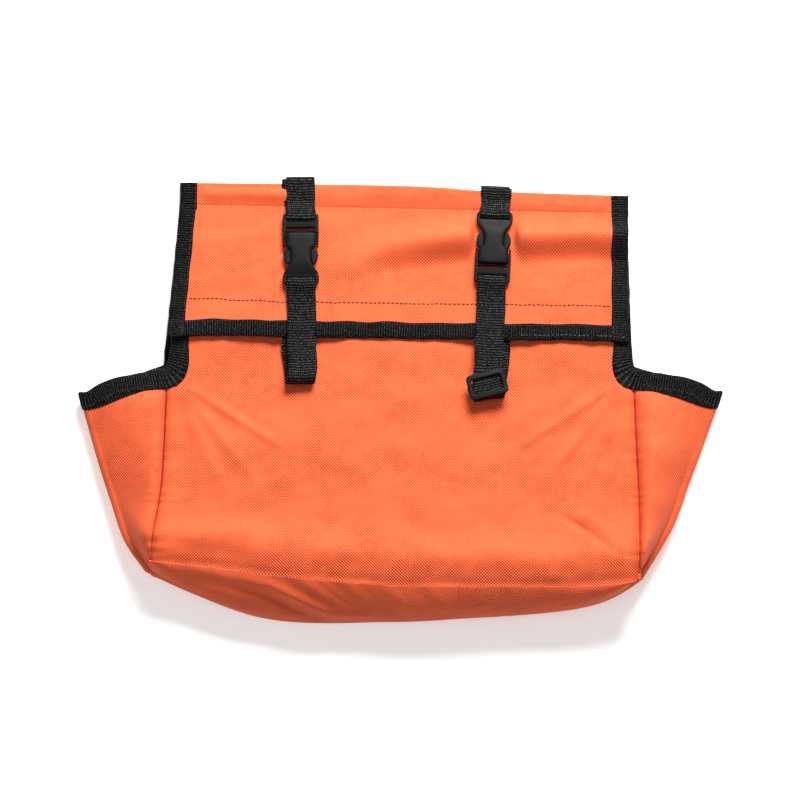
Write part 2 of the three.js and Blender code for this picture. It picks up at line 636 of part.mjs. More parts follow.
// The slider: a ring over the strap with a middle bar under it, so that the strap threads through
function slider() {
  const ring = plate(rectangle(17, -11, 11, 4), 1.2, 3.4, [rectangle(13, -6.5, 6.5, 2)]);
  const bar = block(-17, 17, -2, 2, -3.2, -1.2);
  const posts = [-1, 1].map((side) => block(side < 0 ? -17 : 14.3, side < 0 ? -14.3 : 17, -2, 2, -3.2, 2));
  return geometryOf(posts.reduce((sum, post) => sum.add(solidOf(post)), solidOf(ring).add(solidOf(bar))));
}
const sliderGroup = new THREE.Group();
sliderGroup.position.set(0, -153.5, SLIDER_RUN);
sliderGroup.rotation.z = degToRad(16.5);
piece('tri_glide', slider(), colours.plastic, sliderGroup);
rightStrap.add(sliderGroup);

export default bag;
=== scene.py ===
# Electrician's fabric tool pouch, lying on its back: its cloth, bindings, webbing, buckles and stitches.
# Shapes are worked out in millimetres, in the CAD's frame, and written in metres.
import math

import bmesh
import bpy
import numpy as np
from mathutils import Matrix, Vector
from mathutils.kdtree import KDTree


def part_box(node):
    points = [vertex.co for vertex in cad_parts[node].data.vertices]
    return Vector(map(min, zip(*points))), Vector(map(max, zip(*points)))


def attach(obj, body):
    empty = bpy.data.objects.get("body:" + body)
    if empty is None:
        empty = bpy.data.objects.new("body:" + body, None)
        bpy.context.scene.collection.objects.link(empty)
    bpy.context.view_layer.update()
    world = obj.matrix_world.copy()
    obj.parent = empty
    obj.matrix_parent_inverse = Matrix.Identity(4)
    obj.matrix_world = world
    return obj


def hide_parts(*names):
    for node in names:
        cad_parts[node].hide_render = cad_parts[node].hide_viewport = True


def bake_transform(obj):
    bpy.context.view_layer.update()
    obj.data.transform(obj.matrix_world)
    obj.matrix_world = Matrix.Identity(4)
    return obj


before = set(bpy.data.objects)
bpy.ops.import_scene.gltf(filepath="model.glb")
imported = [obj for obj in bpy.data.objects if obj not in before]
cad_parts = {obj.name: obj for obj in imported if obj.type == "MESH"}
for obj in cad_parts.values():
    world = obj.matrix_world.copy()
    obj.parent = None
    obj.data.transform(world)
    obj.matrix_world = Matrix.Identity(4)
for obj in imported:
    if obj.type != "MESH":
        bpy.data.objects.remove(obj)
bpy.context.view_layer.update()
rng = np.random.default_rng(11)
MM = 0.001
WHITE = (1, 1, 1, 1)

# -------- camera, light and floor

scene = bpy.context.scene


def linked(name, data):
    made = bpy.data.objects.new(name, data)
    scene.collection.objects.link(made)
    return made


VIEW_WIDTH = 0.688  # across the picture, at the height of the straps
VIEW_CENTRE = (-0.0004, -0.0003)
STRAP_HEIGHT = 0.030
CAMERA_DISTANCE = 6.0
camera = linked("camera", bpy.data.cameras.new("camera"))
camera.data.lens = camera.data.sensor_width * CAMERA_DISTANCE / VIEW_WIDTH
camera.location = (*VIEW_CENTRE, STRAP_HEIGHT + CAMERA_DISTANCE)
scene.camera = camera
scene.view_settings.view_transform = "Standard"


def area_light(name, at, size, watts):
    """A soft white light that faces the pouch."""
    light = linked(name, bpy.data.lights.new(name, "AREA"))
    light.data.shape = "RECTANGLE"
    light.data.size, light.data.size_y = size
    light.data.energy = watts
    light.location = at
    light.rotation_euler = (-Vector(at)).to_track_quat("-Z", "Y").to_euler()


area_light("key", (0.36, 1.70, 1.42), (1.0, 0.8), 116)
area_light("fill", (-0.4, -0.2, 2.3), (1.6, 1.6), 8)
world = bpy.data.worlds.new("studio")
world.use_nodes = True
background = world.node_tree.nodes["Background"]
background.inputs["Color"].default_value = WHITE
background.inputs["Strength"].default_value = 0.29
scene.world = world

# -------- materials


class Shader:
    """A Principled material and short calls for the nodes before it."""

    def __init__(self, name):
        self.material = bpy.data.materials.new(name)
        self.material.use_nodes = True
        self.tree = self.material.node_tree
        self.surface = self.tree.nodes["Principled BSDF"]

    def put(self, socket, value):
        if isinstance(value, bpy.types.NodeSocket):
            self.tree.links.new(value, socket)
        else:
            socket.default_value = value

    def node(self, kind, values, **settings):
        made = self.tree.nodes.new("ShaderNode" + kind)
        for key, value in settings.items():
            setattr(made, key, value)
        for key, value in values.items():
            self.put(made.inputs[key], value)
        return made

    def math(self, operation, *values):
        return self.node("Math", dict(enumerate(values)), operation=operation).outputs[0]

    def product(self, a, b):
        return self.math("MULTIPLY", a, b)

    def add_scaled(self, a, scale, b):
        return self.math("MULTIPLY_ADD", a, scale, b)

    def clamp(self, value):
        return self.node("Clamp", {0: value}).outputs[0]

    def place(self):
        """Position along and across the cloth or tape, in millimetres, and its two parts."""
        vector = self.node("Attribute", {}, attribute_name="weave").outputs["Vector"]
        parts = self.node("SeparateXYZ", {0: vector})
        return vector, parts.outputs[0], parts.outputs[1]

    def noise(self, vector, scale, detail=2.0):
        return self.node("TexNoise", {"Vector": vector, "Scale": scale, "Detail": detail}).outputs[0]

    def wave(self, value, pitch, shift=0.0):
        angle = self.add_scaled(value, 2 * math.pi / pitch, shift)
        return self.math("SINE", angle)

    def mix(self, factor, a, b):
        made = self.node("Mix", {0: factor}, data_type="RGBA")
        for socket, value in ((made.inputs[6], a), (made.inputs[7], b)):
            self.put(socket, value if isinstance(value, bpy.types.NodeSocket) else (*value, 1))
        return made.outputs[2]

    def finish(self, colour, roughness, height=None, depth=0.0001, sheen=0.0, strength=1.0, gloss=0.5):
        self.put(self.surface.inputs["Base Color"], colour)
        self.put(self.surface.inputs["Roughness"], roughness)
        self.surface.inputs["Sheen Weight"].default_value = sheen
        self.surface.inputs["Sheen Roughness"].default_value = 0.5
        self.surface.inputs["Specular IOR Level"].default_value = gloss
        if height is not None:
            bump = self.node("Bump", {"Height": height, "Distance": depth, "Strength": strength})
            self.put(self.surface.inputs["Normal"], bump.outputs[0])
        return self.material


CLOTH_PITCH = 2.6


def cloth_material(name, dark, light):
    """Coarse cloth: crossing threads with a diagonal through them, clearer in patches."""
    s = Shader(name)
    vector, x, y = s.place()
    drift = s.product(s.noise(vector, 0.02), 9.0)
    warp = s.wave(x, CLOTH_PITCH, drift)
    weft = s.wave(y, CLOTH_PITCH * 0.97, drift)
    grid = s.product(warp, weft)
    twill = s.wave(s.math("ADD", x, y), CLOTH_PITCH, s.product(drift, 0.6))
    patch = s.add_scaled(s.noise(vector, 0.11, 3.0), 1.4, 0.1)
    crossing = s.product(s.add_scaled(twill, 0.55, grid), s.clamp(patch))
    thread = s.noise(vector, 0.8, 1.5)
    height = s.add_scaled(crossing, 0.5, s.add_scaled(thread, 0.5, 0.25))
    broad = s.noise(vector, 0.018, 3.0)
    tone = s.add_scaled(crossing, 0.6, s.add_scaled(broad, 0.1, 0.4))
    tone = s.add_scaled(thread, 0.45, tone)
    colour = s.mix(s.clamp(tone), dark, light)
    rough = s.add_scaled(thread, 0.15, 0.62)
    return s.finish(colour, rough, height, 0.0004, 0.02, 0.9, 0.12)


def ribbed_material(name, pitch, across, dark, light, slant=0.0):
    """Woven tape: ribs across it every pitch, each a row of short threads."""
    s = Shader(name)
    vector, x, y = s.place()
    wander = s.product(s.noise(vector, 0.06), 2.2)
    along = s.add_scaled(s.math("ABSOLUTE", x), slant, y)
    rib = s.wave(along, pitch, wander)
    row = s.math("FLOOR", s.math("DIVIDE", along, pitch))
    thread = s.wave(x, across, s.add_scaled(row, math.pi * 0.7, s.product(along, 1.3)))
    crossing = s.product(s.clamp(rib), s.clamp(thread))
    fibre = s.noise(vector, 1.1, 2.0)
    ribs = s.add_scaled(rib, 0.2, s.product(fibre, 0.3))
    height = s.add_scaled(crossing, 0.7, ribs)
    # The light flecks on the threads' crossings are painted glints on the black tape
    painted_glint = s.product(crossing, s.clamp(s.add_scaled(fibre, 4.4, -1.85)))
    colour = s.mix(s.clamp(painted_glint), dark, light)
    return s.finish(colour, 0.6, height, 0.0004, 0.0, 1.0, 0.05)


def plastic_material(name):
    """Moulded plastic with a fine grain and worn patches."""
    s = Shader(name)
    vector = s.node("TexCoord", {}).outputs["Object"]
    grain = s.noise(vector, 2600.0, 3.0)
    wear = s.noise(vector, 90.0, 4.0)
    colour = s.mix(wear, (0.002, 0.002, 0.0022), (0.006, 0.006, 0.0065))
    rough = s.add_scaled(wear, 0.2, 0.40)
    return s.finish(colour, rough, grain, 0.00006, 0.0, 0.5, 0.09)


def plain_material(name, colour_low, colour_high, scale, roughness, depth, sheen=0.0):
    """One grain for colour and height: thread, pile or floor."""
    s = Shader(name)
    vector = s.node("TexCoord", {}).outputs["Object"]
    grain = s.noise(vector, scale, 3.0)
    return s.finish(s.mix(grain, colour_low, colour_high), roughness, grain, depth, sheen)


RIB_PITCH = 2.15
WEB_PITCH = 2.35
WEB_SLANT = 0.05
ORANGE = cloth_material("orange_cloth", (0.27, 0.010, 0.003), (0.90, 0.150, 0.052))
# The light colours of the binding tape and the webbing are painted glints in their flecks
BINDING = ribbed_material("binding_tape", RIB_PITCH, 1.1, (0.0014, 0.0013, 0.0014), (0.19, 0.19, 0.195))
WEBBING = ribbed_material("webbing", WEB_PITCH, 1.75, (0.0012, 0.0012, 0.0013), (0.30, 0.30, 0.31), WEB_SLANT)
PLASTIC = plastic_material("buckle_plastic")
THREAD = plain_material("black_thread", (0.004, 0.002, 0.002), (0.02, 0.010, 0.008), 3000, 0.6, 0.0001)
# Thread whose pale grey is a painted glint on the stitches
GLINT_PAINTED_THREAD = plain_material("glint_painted_thread", (0.04, 0.04, 0.04), (0.14, 0.14, 0.14), 3000, 0.6, 0.0001)
PILE = plain_material("hook_and_loop", (0.003, 0.003, 0.003), (0.018, 0.018, 0.018), 1500, 0.95, 0.0006, 0.1)
FLOOR = plain_material("floor", (0.93, 0.93, 0.93), (0.95, 0.95, 0.95), 3, 0.9, 0.00001)

# The floor gives off a little light of its own, so that the shadows on it stay pale
floor_surface = FLOOR.node_tree.nodes["Principled BSDF"]
floor_surface.inputs["Emission Color"].default_value = WHITE
floor_surface.inputs["Emission Strength"].default_value = 0.35

FLOOR_GAP = 0.0002
floor = linked("floor", bpy.data.meshes.new("floor"))
floor.data.from_pydata([(-6, -6, 0), (6, -6, 0), (6, 6, 0), (-6, 6, 0)], [], [(0, 1, 2, 3)])
floor.data.materials.append(FLOOR)
floor.location.z = -FLOOR_GAP

# -------- mesh helpers


def moved(points, matrix):
    m = np.array(matrix)
    return np.asarray(points, float) @ m[:3, :3].T + m[:3, 3]


def make(name, points, faces, material, matrix=None, coords=None):
    """A smooth-shaded mesh object from points in millimetres."""
    points = np.asarray(points, float).reshape(-1, 3)
    if matrix is not None:
        points = moved(points, matrix)
    mesh = bpy.data.meshes.new(name)
    mesh.from_pydata((points * MM).tolist(), [], faces)
    if coords is not None:
        flat = np.zeros((len(points), 3), np.float32)
        flat[:, :2] = np.asarray(coords, float).reshape(-1, 2)
        mesh.attributes.new("weave", "FLOAT_VECTOR", "POINT").data.foreach_set("vector", flat.ravel())
    tidy = bmesh.new()
    tidy.from_mesh(mesh)
    bmesh.ops.recalc_face_normals(tidy, faces=tidy.faces)
    tidy.to_mesh(mesh)
    tidy.free()
    mesh.materials.append(material)
    mesh.shade_smooth()
    return linked(name, mesh)


def place(piece, body, *nodes):
    """The piece rides on a body, or on none if it bends between two, and stands for the CAD nodes."""
    if body:
        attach(piece, body)
    if nodes:
        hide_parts(*nodes)
    return piece


def grid_faces(rows, columns, start=0, closed=False):
    """Quads between rows of points; closed rows go all the way round."""
    r, c = np.meshgrid(np.arange(rows - 1), np.arange(columns if closed else columns - 1), indexing="ij")
    a = start + r * columns + c
    b = start + r * columns + (c + 1) % columns
    return np.stack([a, b, b + columns, a + columns], -1).reshape(-1, 4).tolist()


def unit(v):
    return v / np.maximum(np.linalg.norm(v, axis=-1, keepdims=True), 1e-9)


def grid_normals(grid, facing=(0, 0, 1)):
    """The grid's normals, on the side that faces that way at its middle."""
    normals = unit(np.cross(np.gradient(grid, axis=0), np.gradient(grid, axis=1)))
    rows, columns = grid.shape[:2]
    return -normals if np.dot(normals[rows // 2, columns // 2], facing) < 0 else normals


def run_along(grid, axis):
    """Distance along the grid's lines, from where they start."""
    steps = np.diff(grid, axis=axis, prepend=np.take(grid, [0], axis))
    return np.cumsum(np.linalg.norm(steps, axis=-1), axis=axis)


def sheet(name, grid, thickness, material, coords=None, facing=(0, 0, 1)):
    """A closed cloth with its outer face on the grid. Its weave follows x and y, or coords."""
    coords = grid[..., :2] if coords is None else coords
    rows, columns = grid.shape[:2]
    inner = grid - grid_normals(grid, facing) * thickness
    points = np.concatenate([grid.reshape(-1, 3), inner.reshape(-1, 3)])
    half = rows * columns
    faces = grid_faces(rows, columns) + grid_faces(rows, columns, half)
    index = np.arange(half).reshape(rows, columns)
    rim = np.concatenate([index[0], index[1:, -1], index[-1, -2::-1], index[-2:0:-1, 0]])
    following = np.roll(rim, -1)
    faces += np.stack([rim, following, following + half, rim + half], -1).tolist()
    return make(name, points, faces, material, coords=np.concatenate([coords.reshape(-1, 2)] * 2))


def sweep(name, origin, axis_a, axis_b, a, b, material, coords=None, matrix=None):
    """A closed solid through rings of points origin + a * axis_a + b * axis_b."""
    points = origin[:, None] + a[..., None] * axis_a[:, None] + b[..., None] * axis_b[:, None]
    rings, count = a.shape
    faces = grid_faces(rings, count, closed=True)
    faces += [list(range(count)), list(range((rings - 1) * count, rings * count))]
    return make(name, points, faces, material, matrix, coords)


def spline(points, t):
    """Uniform Catmull-Rom spline through the points, t from 0 to 1, as the CAD's curves are."""
    p = np.asarray(points, float)
    at = np.atleast_1d(np.asarray(t, float)) * (len(p) - 1)
    i = np.minimum(at.astype(int), len(p) - 2)
    w = (at - i)[..., None]
    a, b, c, d = p[np.maximum(i - 1, 0)], p[i], p[i + 1], p[np.minimum(i + 2, len(p) - 1)]
    v0, v1 = (c - a) / 2, (d - b) / 2
    return (2 * b - 2 * c + v0 + v1) * w**3 + (-3 * b + 3 * c - 2 * v0 - v1) * w**2 + v0 * w + b


def lengths(path):
    return np.concatenate([[0], np.cumsum(np.linalg.norm(np.diff(path, axis=0), axis=1))])


def resampled(path, step, *others):
    """The path at even steps, with other values carried along, and the distances."""
    s = lengths(path)
    count = max(int(round(s[-1] / step)), 2)
    at = np.linspace(0, s[-1], count + 1)
    take = lambda values: np.stack([np.interp(at, s, values[:, k]) for k in range(values.shape[1])], -1)
    return at, take(path), *[take(o) for o in others]


def level_grid(x, y):
    """Grids of x and y from a row of x and a column of y."""
    return x[None] + np.zeros((len(y), 1)), y[:, None] + np.zeros((1, len(x)))


def smoothed(values, width):
    """Moving average along the first axis, with the ends kept."""
    if width < 2:
        return values
    kernel = np.hanning(width + 2)[1:-1]
    kernel /= kernel.sum()
    pad = width // 2
    before, after = np.repeat(values[:1], pad, 0), np.repeat(values[-1:], width - 1 - pad, 0)
    padded = np.concatenate([before, values, after])
    out = np.stack([np.convolve(padded[:, k], kernel, "valid") for k in range(values.shape[1])], -1)
    out[0], out[-1] = values[0], values[-1]
    return out


def smoothstep(low, high, x):
    t = np.clip((x - low) / (high - low), 0, 1)
    return t * t * (3 - 2 * t)


def bell(x, centre, width):
    """1 at the centre, falling to 0.37 at the width."""
    return np.exp(-(((x - centre) / width) ** 2))


class Ripple:
    """Smooth irregular waves of about one wavelength, from fixed random directions and phases."""

    WAVES = 14

    def __init__(self, wavelength):
        angle = rng.uniform(0, math.pi, self.WAVES)
        k = 2 * math.pi / (wavelength * rng.uniform(0.7, 1.5, self.WAVES))
        self.kx, self.ky = k * np.cos(angle), k * np.sin(angle)
        self.phase = rng.uniform(0, 2 * math.pi, self.WAVES)
        self.size = 1 / math.sqrt(self.WAVES / 2)

    def __call__(self, x, y=0.0):
        x, y = np.asarray(x, float)[..., None], np.asarray(y, float)[..., None]
        return self.size * np.sin(self.kx * x + self.ky * y + self.phase).sum(-1)


broad_ripple, middle_ripple, fine_ripple, edge_ripple = Ripple(120), Ripple(48), Ripple(17), Ripple(30)

# -------- bag body

FABRIC = 1.2  # thickness of the cloth
FRONT_BOTTOM = [[-214.7, -138], [-164, -143], [-103, -151], [0, -159], [147, -159.5], [205, -154.5]]
BACK_BOTTOM = [[-215.5, -152], [-115, -189.5], [0, -191.7], [61, -187], [157, -177.5], [204, -157]]
TOP_EDGE = [[-188.5, 187.4], [0, 184.8], [80, 180], [195, 176]]
SEAM_LINE = [[-188.5, 167.6], [195, 160.4]]
SIDES = {
    "left": {
        "sign": -1,
        "neck": [[-193, 122], [-195.8, 60], [-197.6, 40], [-201, 27]],
        "crease": [[-201, 27], [-203.5, -40], [-206.5, -80], [-213, -118], [-214.7, -138]],
        "fold": [[-277.4, 5], [-263, -47], [-250, -88], [-238, -122], [-220, -148]],
        "back": [[-203.5, 29], [-204.5, -40], [-206, -90], [-215.5, -152]],
        "back_neck": [[-188.5, 187.4], [-188.8, 158], [-192.5, 130], [-200.5, 60], [-203.5, 29]],
    },
    "right": {
        "sign": 1,
        "neck": [[194, 122], [197.4, 60], [198.4, 40], [200.5, 26]],
        "crease": [[200.5, 26], [202.5, -30], [204.7, -80], [205.5, -113], [205, -154.5]],
        "fold": [[277.4, 6], [262, -38], [250, -70], [235, -110], [208.5, -155]],
        "back": [[199.5, 28], [203, -40], [205, -90], [204, -157]],
        "back_neck": [[195, 176], [195, 158], [195.5, 130], [198, 60], [199.5, 28]],
    },
}
NECK_X, NECK_Y = 196, 20  # where the pulls in the cloth start
HALF_NECK = 197
FOLD_RADIUS = 6.5
BACK_EDGE_LIFT = 1.4


def front_height(x, y):
    """Height of the front's plain shape, which is crowned across."""
    ridge = 33.2 - 0.19 * y - 0.0003 * np.minimum(y, 0) ** 2
    crown = 8 * np.clip((ridge - 5) / 30, 0, 1)
    return ridge - crown * (x / 205) ** 2


def crease_x(side, y):
    points = np.array(SIDES[side]["neck"] + SIDES[side]["crease"][1:])
    return np.interp(-y, -points[:, 1], points[:, 0])


def bottom_y(x):
    points = np.array(FRONT_BOTTOM)
    return np.interp(x, points[:, 0], points[:, 1])


def streak(x, y, start, end, width, height):
    """A soft ridge or dent along a line, fading at both ends."""
    (x0, y0), (x1, y1) = start, end
    length = math.hypot(x1 - x0, y1 - y0)
    ux, uy = (x1 - x0) / length, (y1 - y0) / length
    along = (x - x0) * ux + (y - y0) * uy
    off = -(x - x0) * uy + (y - y0) * ux
    rise = smoothstep(-0.15 * length, 0.25 * length, along)
    fade = rise * (1 - smoothstep(0.7 * length, 1.1 * length, along))
    return height * fade * np.exp(-((off / width) ** 2))


def body_relief(x, y):
    """Height of the worn cloth over the plain shape, seen from the front."""
    below_neck = smoothstep(75, 20, y)
    z = 0.9 * broad_ripple(x, y) * below_neck + 0.45 * middle_ripple(x, y) * below_neck
    z += 0.10 * fine_ripple(x, y)
    # A full roll of cloth above the bottom seam, which lies in a dip
    over_crease = y - bottom_y(x)
    z += 5.0 * bell(over_crease, 25, 15) - 2.2 * bell(over_crease, 0, 6)
    for side, sign in (("left", -1), ("right", 1)):
        d = np.abs(x - crease_x(side, y))
        under_corner = smoothstep(22, -4, y)
        z -= 2.6 * np.exp(-((d / 2.4) ** 2)) * under_corner
        z += 1.5 * bell(d, 9, 6) * under_corner
        pucker = np.sin(y / 2.1 + 1.3 * edge_ripple(y) + sign)
        z += 0.55 * pucker * np.exp(-d / 7) * under_corner
        for dx, dy, width, height in ((96, 62, 4.0, 2.1), (74, 92, 5.5, 1.9), (46, 104, 6.0, 1.5)):
            start, end = (sign * NECK_X, NECK_Y), (sign * (NECK_X - dx), NECK_Y - dy)
            z += streak(x, y, start, end, width, height)
    # Calm under the bindings of neck and mouth, and raised under the flap beside the straps
    outward = np.abs(x)
    under_mouth = np.maximum(27 - 22 * np.clip((outward - 200) / 77, 0, 1) - y, 0)
    z *= smoothstep(9, 28, np.hypot(np.maximum(HALF_NECK - outward, 0), under_mouth))
    z += 2.7 * bell(y, 52, 20) * smoothstep(22, 40, np.abs(outward - 84)) * smoothstep(196, 170, outward)
    z += streak(x, y, (141, -101), (186, -131), 3.5, -2.0)
    z += streak(x, y, (150, -94), (192, -122), 5, 1.2)
    z += streak(x, y, (-190, -118), (-120, -108), 7, 1.2)
    return z


def gusset_lines(side, rows):
    """Lines across a gusset at each row: from the front crease, round the outer fold, to the back's edge."""
    s = SIDES[side]
    v = np.linspace(0, 1, rows)
    crease, fold, back = (spline(s[k], v) for k in ("crease", "fold", "back"))
    centre_x = fold[:, 0] - s["sign"] * FOLD_RADIUS
    centre_z = 12 + 10 * v**2
    start = np.column_stack([crease, front_height(crease[:, 0], crease[:, 1])])
    end = np.column_stack([back, np.full(rows, BACK_EDGE_LIFT)])
    angle = np.radians(np.linspace(90, -90, 15))
    arc = np.stack([
        centre_x[:, None] + s["sign"] * FOLD_RADIUS * np.cos(angle),
        np.repeat(fold[:, 1:], len(angle), 1),
        centre_z[:, None] + FOLD_RADIUS * np.sin(angle),
    ], -1)
    t_front, t_back = np.linspace(0, 1, 46)[:-1], np.linspace(0, 1, 22)[1:]
    front = start[:, None] + (arc[:, :1] - start[:, None]) * t_front[None, :, None]
    front[..., 1] += 4.8 * (1 - v)[:, None] * np.sin(np.pi * t_front**1.8)
    # The cloth stands up beside the crease, and falls away towards its outer fold
    low = v[:, None]
    front[..., 2] += 5.5 * bell(low, 0, 0.36) * np.sin(np.pi * t_front)
    if side == "left":
        fullness = (1.5 + 4.5 * smoothstep(0, 0.15, low)) * (1 - 0.4 * low)
        front[..., 2] += fullness * np.sin(np.pi * t_front**0.6)
    else:
        fullness = (1.5 + 10.5 * smoothstep(0, 0.4, low)) * (1 - 0.3 * smoothstep(0.8, 1, low))
        front[..., 2] += fullness * np.sin(np.pi * t_front**0.75)
    relief = body_relief(front[..., 0], front[..., 1])
    front[..., 2] += relief * (1 - smoothstep(0.5, 1.0, t_front))
    back = arc[:, -1:] + (end[:, None] - arc[:, -1:]) * t_back[None, :, None]
    back[..., 2] += 0.8 * np.sin(np.pi * t_back)
    return np.concatenate([front, arc, back], 1)


def front_grid(rows, columns):
    """The front, from the top of its bib down the neck and the creases to the bottom."""
    left, right = SIDES["left"], SIDES["right"]
    u = np.linspace(0, 1, columns)
    edge = spline(FRONT_BOTTOM, u)
    sag = edge - (edge[0] + (edge[-1] - edge[0]) * u[:, None])
    lines = []
    for key, v in (("neck", np.linspace(0, 1, rows // 3)[:-1]), ("crease", np.linspace(0, 1, rows))):
        a, b = spline(left[key], v), spline(right[key], v)
        along = a[:, None] + (b - a)[:, None] * u[None, :, None]
        if key == "crease":
            along[..., 0] += v[:, None] ** 4 * sag[:, 0]
            along[..., 1] += v[:, None] ** 2 * sag[:, 1]
        lines.append(along)
    flat = np.concatenate(lines)
    z = front_height(flat[..., 0], flat[..., 1]) + body_relief(flat[..., 0], flat[..., 1])
    return np.concatenate([flat, z[..., None]], -1)


def bottom_grid(left_line, right_line, front_edge):
    """The bottom panel, between the gussets' lowest lines and the front's lowest edge."""
    u = np.linspace(0, 1, len(front_edge))
    w = np.linspace(0, 1, len(left_line))[:, None]
    back_edge = np.column_stack([spline(BACK_BOTTOM, u), np.where((u == 0) | (u == 1), BACK_EDGE_LIFT, 0)])
    bulge_point = np.array([0, -200, 38])
    a, c = np.append(FRONT_BOTTOM[3], front_height(0, -159)), np.append(BACK_BOTTOM[2], 0)
    bezier = (1 - w) ** 2 * a + 2 * w * (1 - w) * bulge_point + w**2 * c
    middle = bezier - (a + (c - a) * w)
    ends = [line - (line[0] + (line[-1] - line[0]) * w) for line in (left_line, right_line)]
    side = np.abs(2 * u - 1) ** 3
    bulge = middle[:, None] * (1 - side)[None, :, None]
    nearer_end = np.where((u < 0.5)[None, :, None], ends[0][:, None], ends[1][:, None])
    bulge = bulge + nearer_end * side[None, :, None]
    grid = front_edge[None] + (back_edge - front_edge)[None] * w[..., None] + bulge
    # Soft folds that run along the panel
    x, y = grid[..., 0], grid[..., 1]
    shown = np.sin(np.pi * w) * (1 - side)[None]
    fold_line = np.interp(x, [-212, -161, -112, -79, -60, 20], [-141, -150, -162, -180, -189, -200])
    above = y - fold_line
    fold = 4.6 * bell(above, 5, 6) - 4.0 * bell(above, -6, 5)
    lift = fold * smoothstep(-205, -165, x) * (1 - smoothstep(-70, -10, x))
    lift = lift + 0.9 * broad_ripple(x, y * 2) + 0.25 * middle_ripple(x, y)
    grid[..., 2] += lift * shown
    grid[..., 1] -= 0.35 * np.clip(lift, 0, 9) * shown
    return grid


ROWS = 150
FRONT_COLUMNS = 260
front = front_grid(ROWS, FRONT_COLUMNS)
gusset = {side: gusset_lines(side, ROWS) for side in SIDES}
bottom = bottom_grid(gusset["left"][-1], gusset["right"][-1], front[-1])

front_cloth = place(sheet("front_cloth", front, FABRIC, ORANGE), "pouch", "front_panel")
for side, grid in gusset.items():
    coords = np.stack([run_along(grid, 1) * 0.995 + 0.1 * grid[..., 1], grid[..., 1]], -1)
    place(sheet(f"{side}_gusset_cloth", grid, FABRIC, ORANGE, coords), "pouch", f"{side}_gusset")
down_panel = run_along(bottom, 0)
bottom_coords = np.stack([bottom[..., 0] + 0.12 * down_panel, -down_panel], -1)
bottom_cloth = sheet("bottom_cloth", bottom, FABRIC, ORANGE, bottom_coords, (0, -1, 0.3))
place(bottom_cloth, "pouch", "bottom_panel")

# The back lies on the floor, lifted at its edges by their tape and at its top by the strap ends
back_sides = []
for side in ("left", "right"):
    s = SIDES[side]
    neck = spline(s["back_neck"], np.linspace(0, 1, 60))[:-1]
    back_sides.append(np.concatenate([neck, spline(s["back"], np.linspace(0, 1, ROWS // 2))]))
u = np.linspace(0, 1, 130)[None, :, None]
back = back_sides[0][:, None] + (back_sides[1] - back_sides[0])[:, None] * u
top_blend = (1 - smoothstep(0, 12, np.arange(len(back))))[:, None, None]
back = back + top_blend * (spline(TOP_EDGE, u[0, :, 0])[None] - back[:1])
low_blend = smoothstep(len(back) - 40, len(back) - 1, np.arange(len(back)))[:, None, None]
back = back + low_blend * (spline(BACK_BOTTOM, u[0, :, 0])[None] - back[-1:])
edge = np.minimum(u[0, :, 0], 1 - u[0, :, 0]) * 400
lift = BACK_EDGE_LIFT * (1 - smoothstep(2, 22, edge))[None] * np.ones((len(back), 1))
lift = np.maximum(lift, 3.3 * smoothstep(150, 170, back[..., 1]))
back = np.concatenate([back, lift[..., None]], -1)
place(sheet("back_cloth", back, FABRIC, ORANGE, facing=(0, 0, -1)), "pouch", "back_panel")

# -------- top band

BAND_HIGH = 5.95
BAND_UNDERSIDE = 2.1


def band_grid(columns):
    """The hem strip: from the seam up to the top edge, round it, and down behind."""
    u = np.linspace(0, 1, columns)
    top, seam = spline(TOP_EDGE, u), np.array(SEAM_LINE[0]) + np.diff(SEAM_LINE, axis=0)[0] * u[:, None]
    radius = (BAND_HIGH - BAND_UNDERSIDE) / 2
    rows = []
    for t in np.linspace(0, 1, 26):
        y = seam[:, 1] + (top[:, 1] - radius - seam[:, 1]) * t
        x = seam[:, 0] + (top[:, 0] - seam[:, 0]) * t
        inside = smoothstep(8, 30, np.minimum(x + 188, 195 - x))
        swell = (1.1 + 0.25 * middle_ripple(x, y)) * np.sin(np.pi * t) * inside
        swell = swell + 2.2 * bell(t, 0.62, 0.3) * smoothstep(-60, -110, x) * inside * smoothstep(1, 0.8, t)
        rows.append(np.stack([x, y, BAND_HIGH + swell - 0.7 * bell(t, 0, 0.06)], -1))
    for angle in np.radians(np.linspace(80, -90, 12)):
        y = top[:, 1] - radius + radius * math.cos(angle)
        z = BAND_HIGH - radius + radius * math.sin(angle)
        rows.append(np.stack([top[:, 0], y, np.full(columns, z)], -1))
    rows.append(np.stack([top[:, 0], top[:, 1] - 14, np.full(columns, BAND_HIGH - 2 * radius)], -1))
    return np.stack(rows)


band = band_grid(200)
band_coords = np.stack([band[..., 0], run_along(band, 0)], -1)
place(sheet("top_band_cloth", band, 1.0, ORANGE, band_coords), "pouch", "top_band")

# -------- flap

FLAP = Matrix.Translation((0, 163.2, 6.2)) @ Matrix.Rotation(math.radians(-1.07), 4, "Z")
FLAP = FLAP @ Matrix.Rotation(math.radians(-12), 4, "X")
FLAP_TOP, FLAP_BOTTOM = 2.5, -113.3  # in the flap's own frame, as all of its shapes are
STRAP_X = {"left": -86.2, "right": 81.6}
FOLD_RIDGE, FOLD_TROUGH = 12.5, 1.2


def flap_edge(sign, y):
    ends = (-189.5, -197.6) if sign < 0 else (195.5, 196.5)
    return np.interp(-y, [1, 113.3], ends)


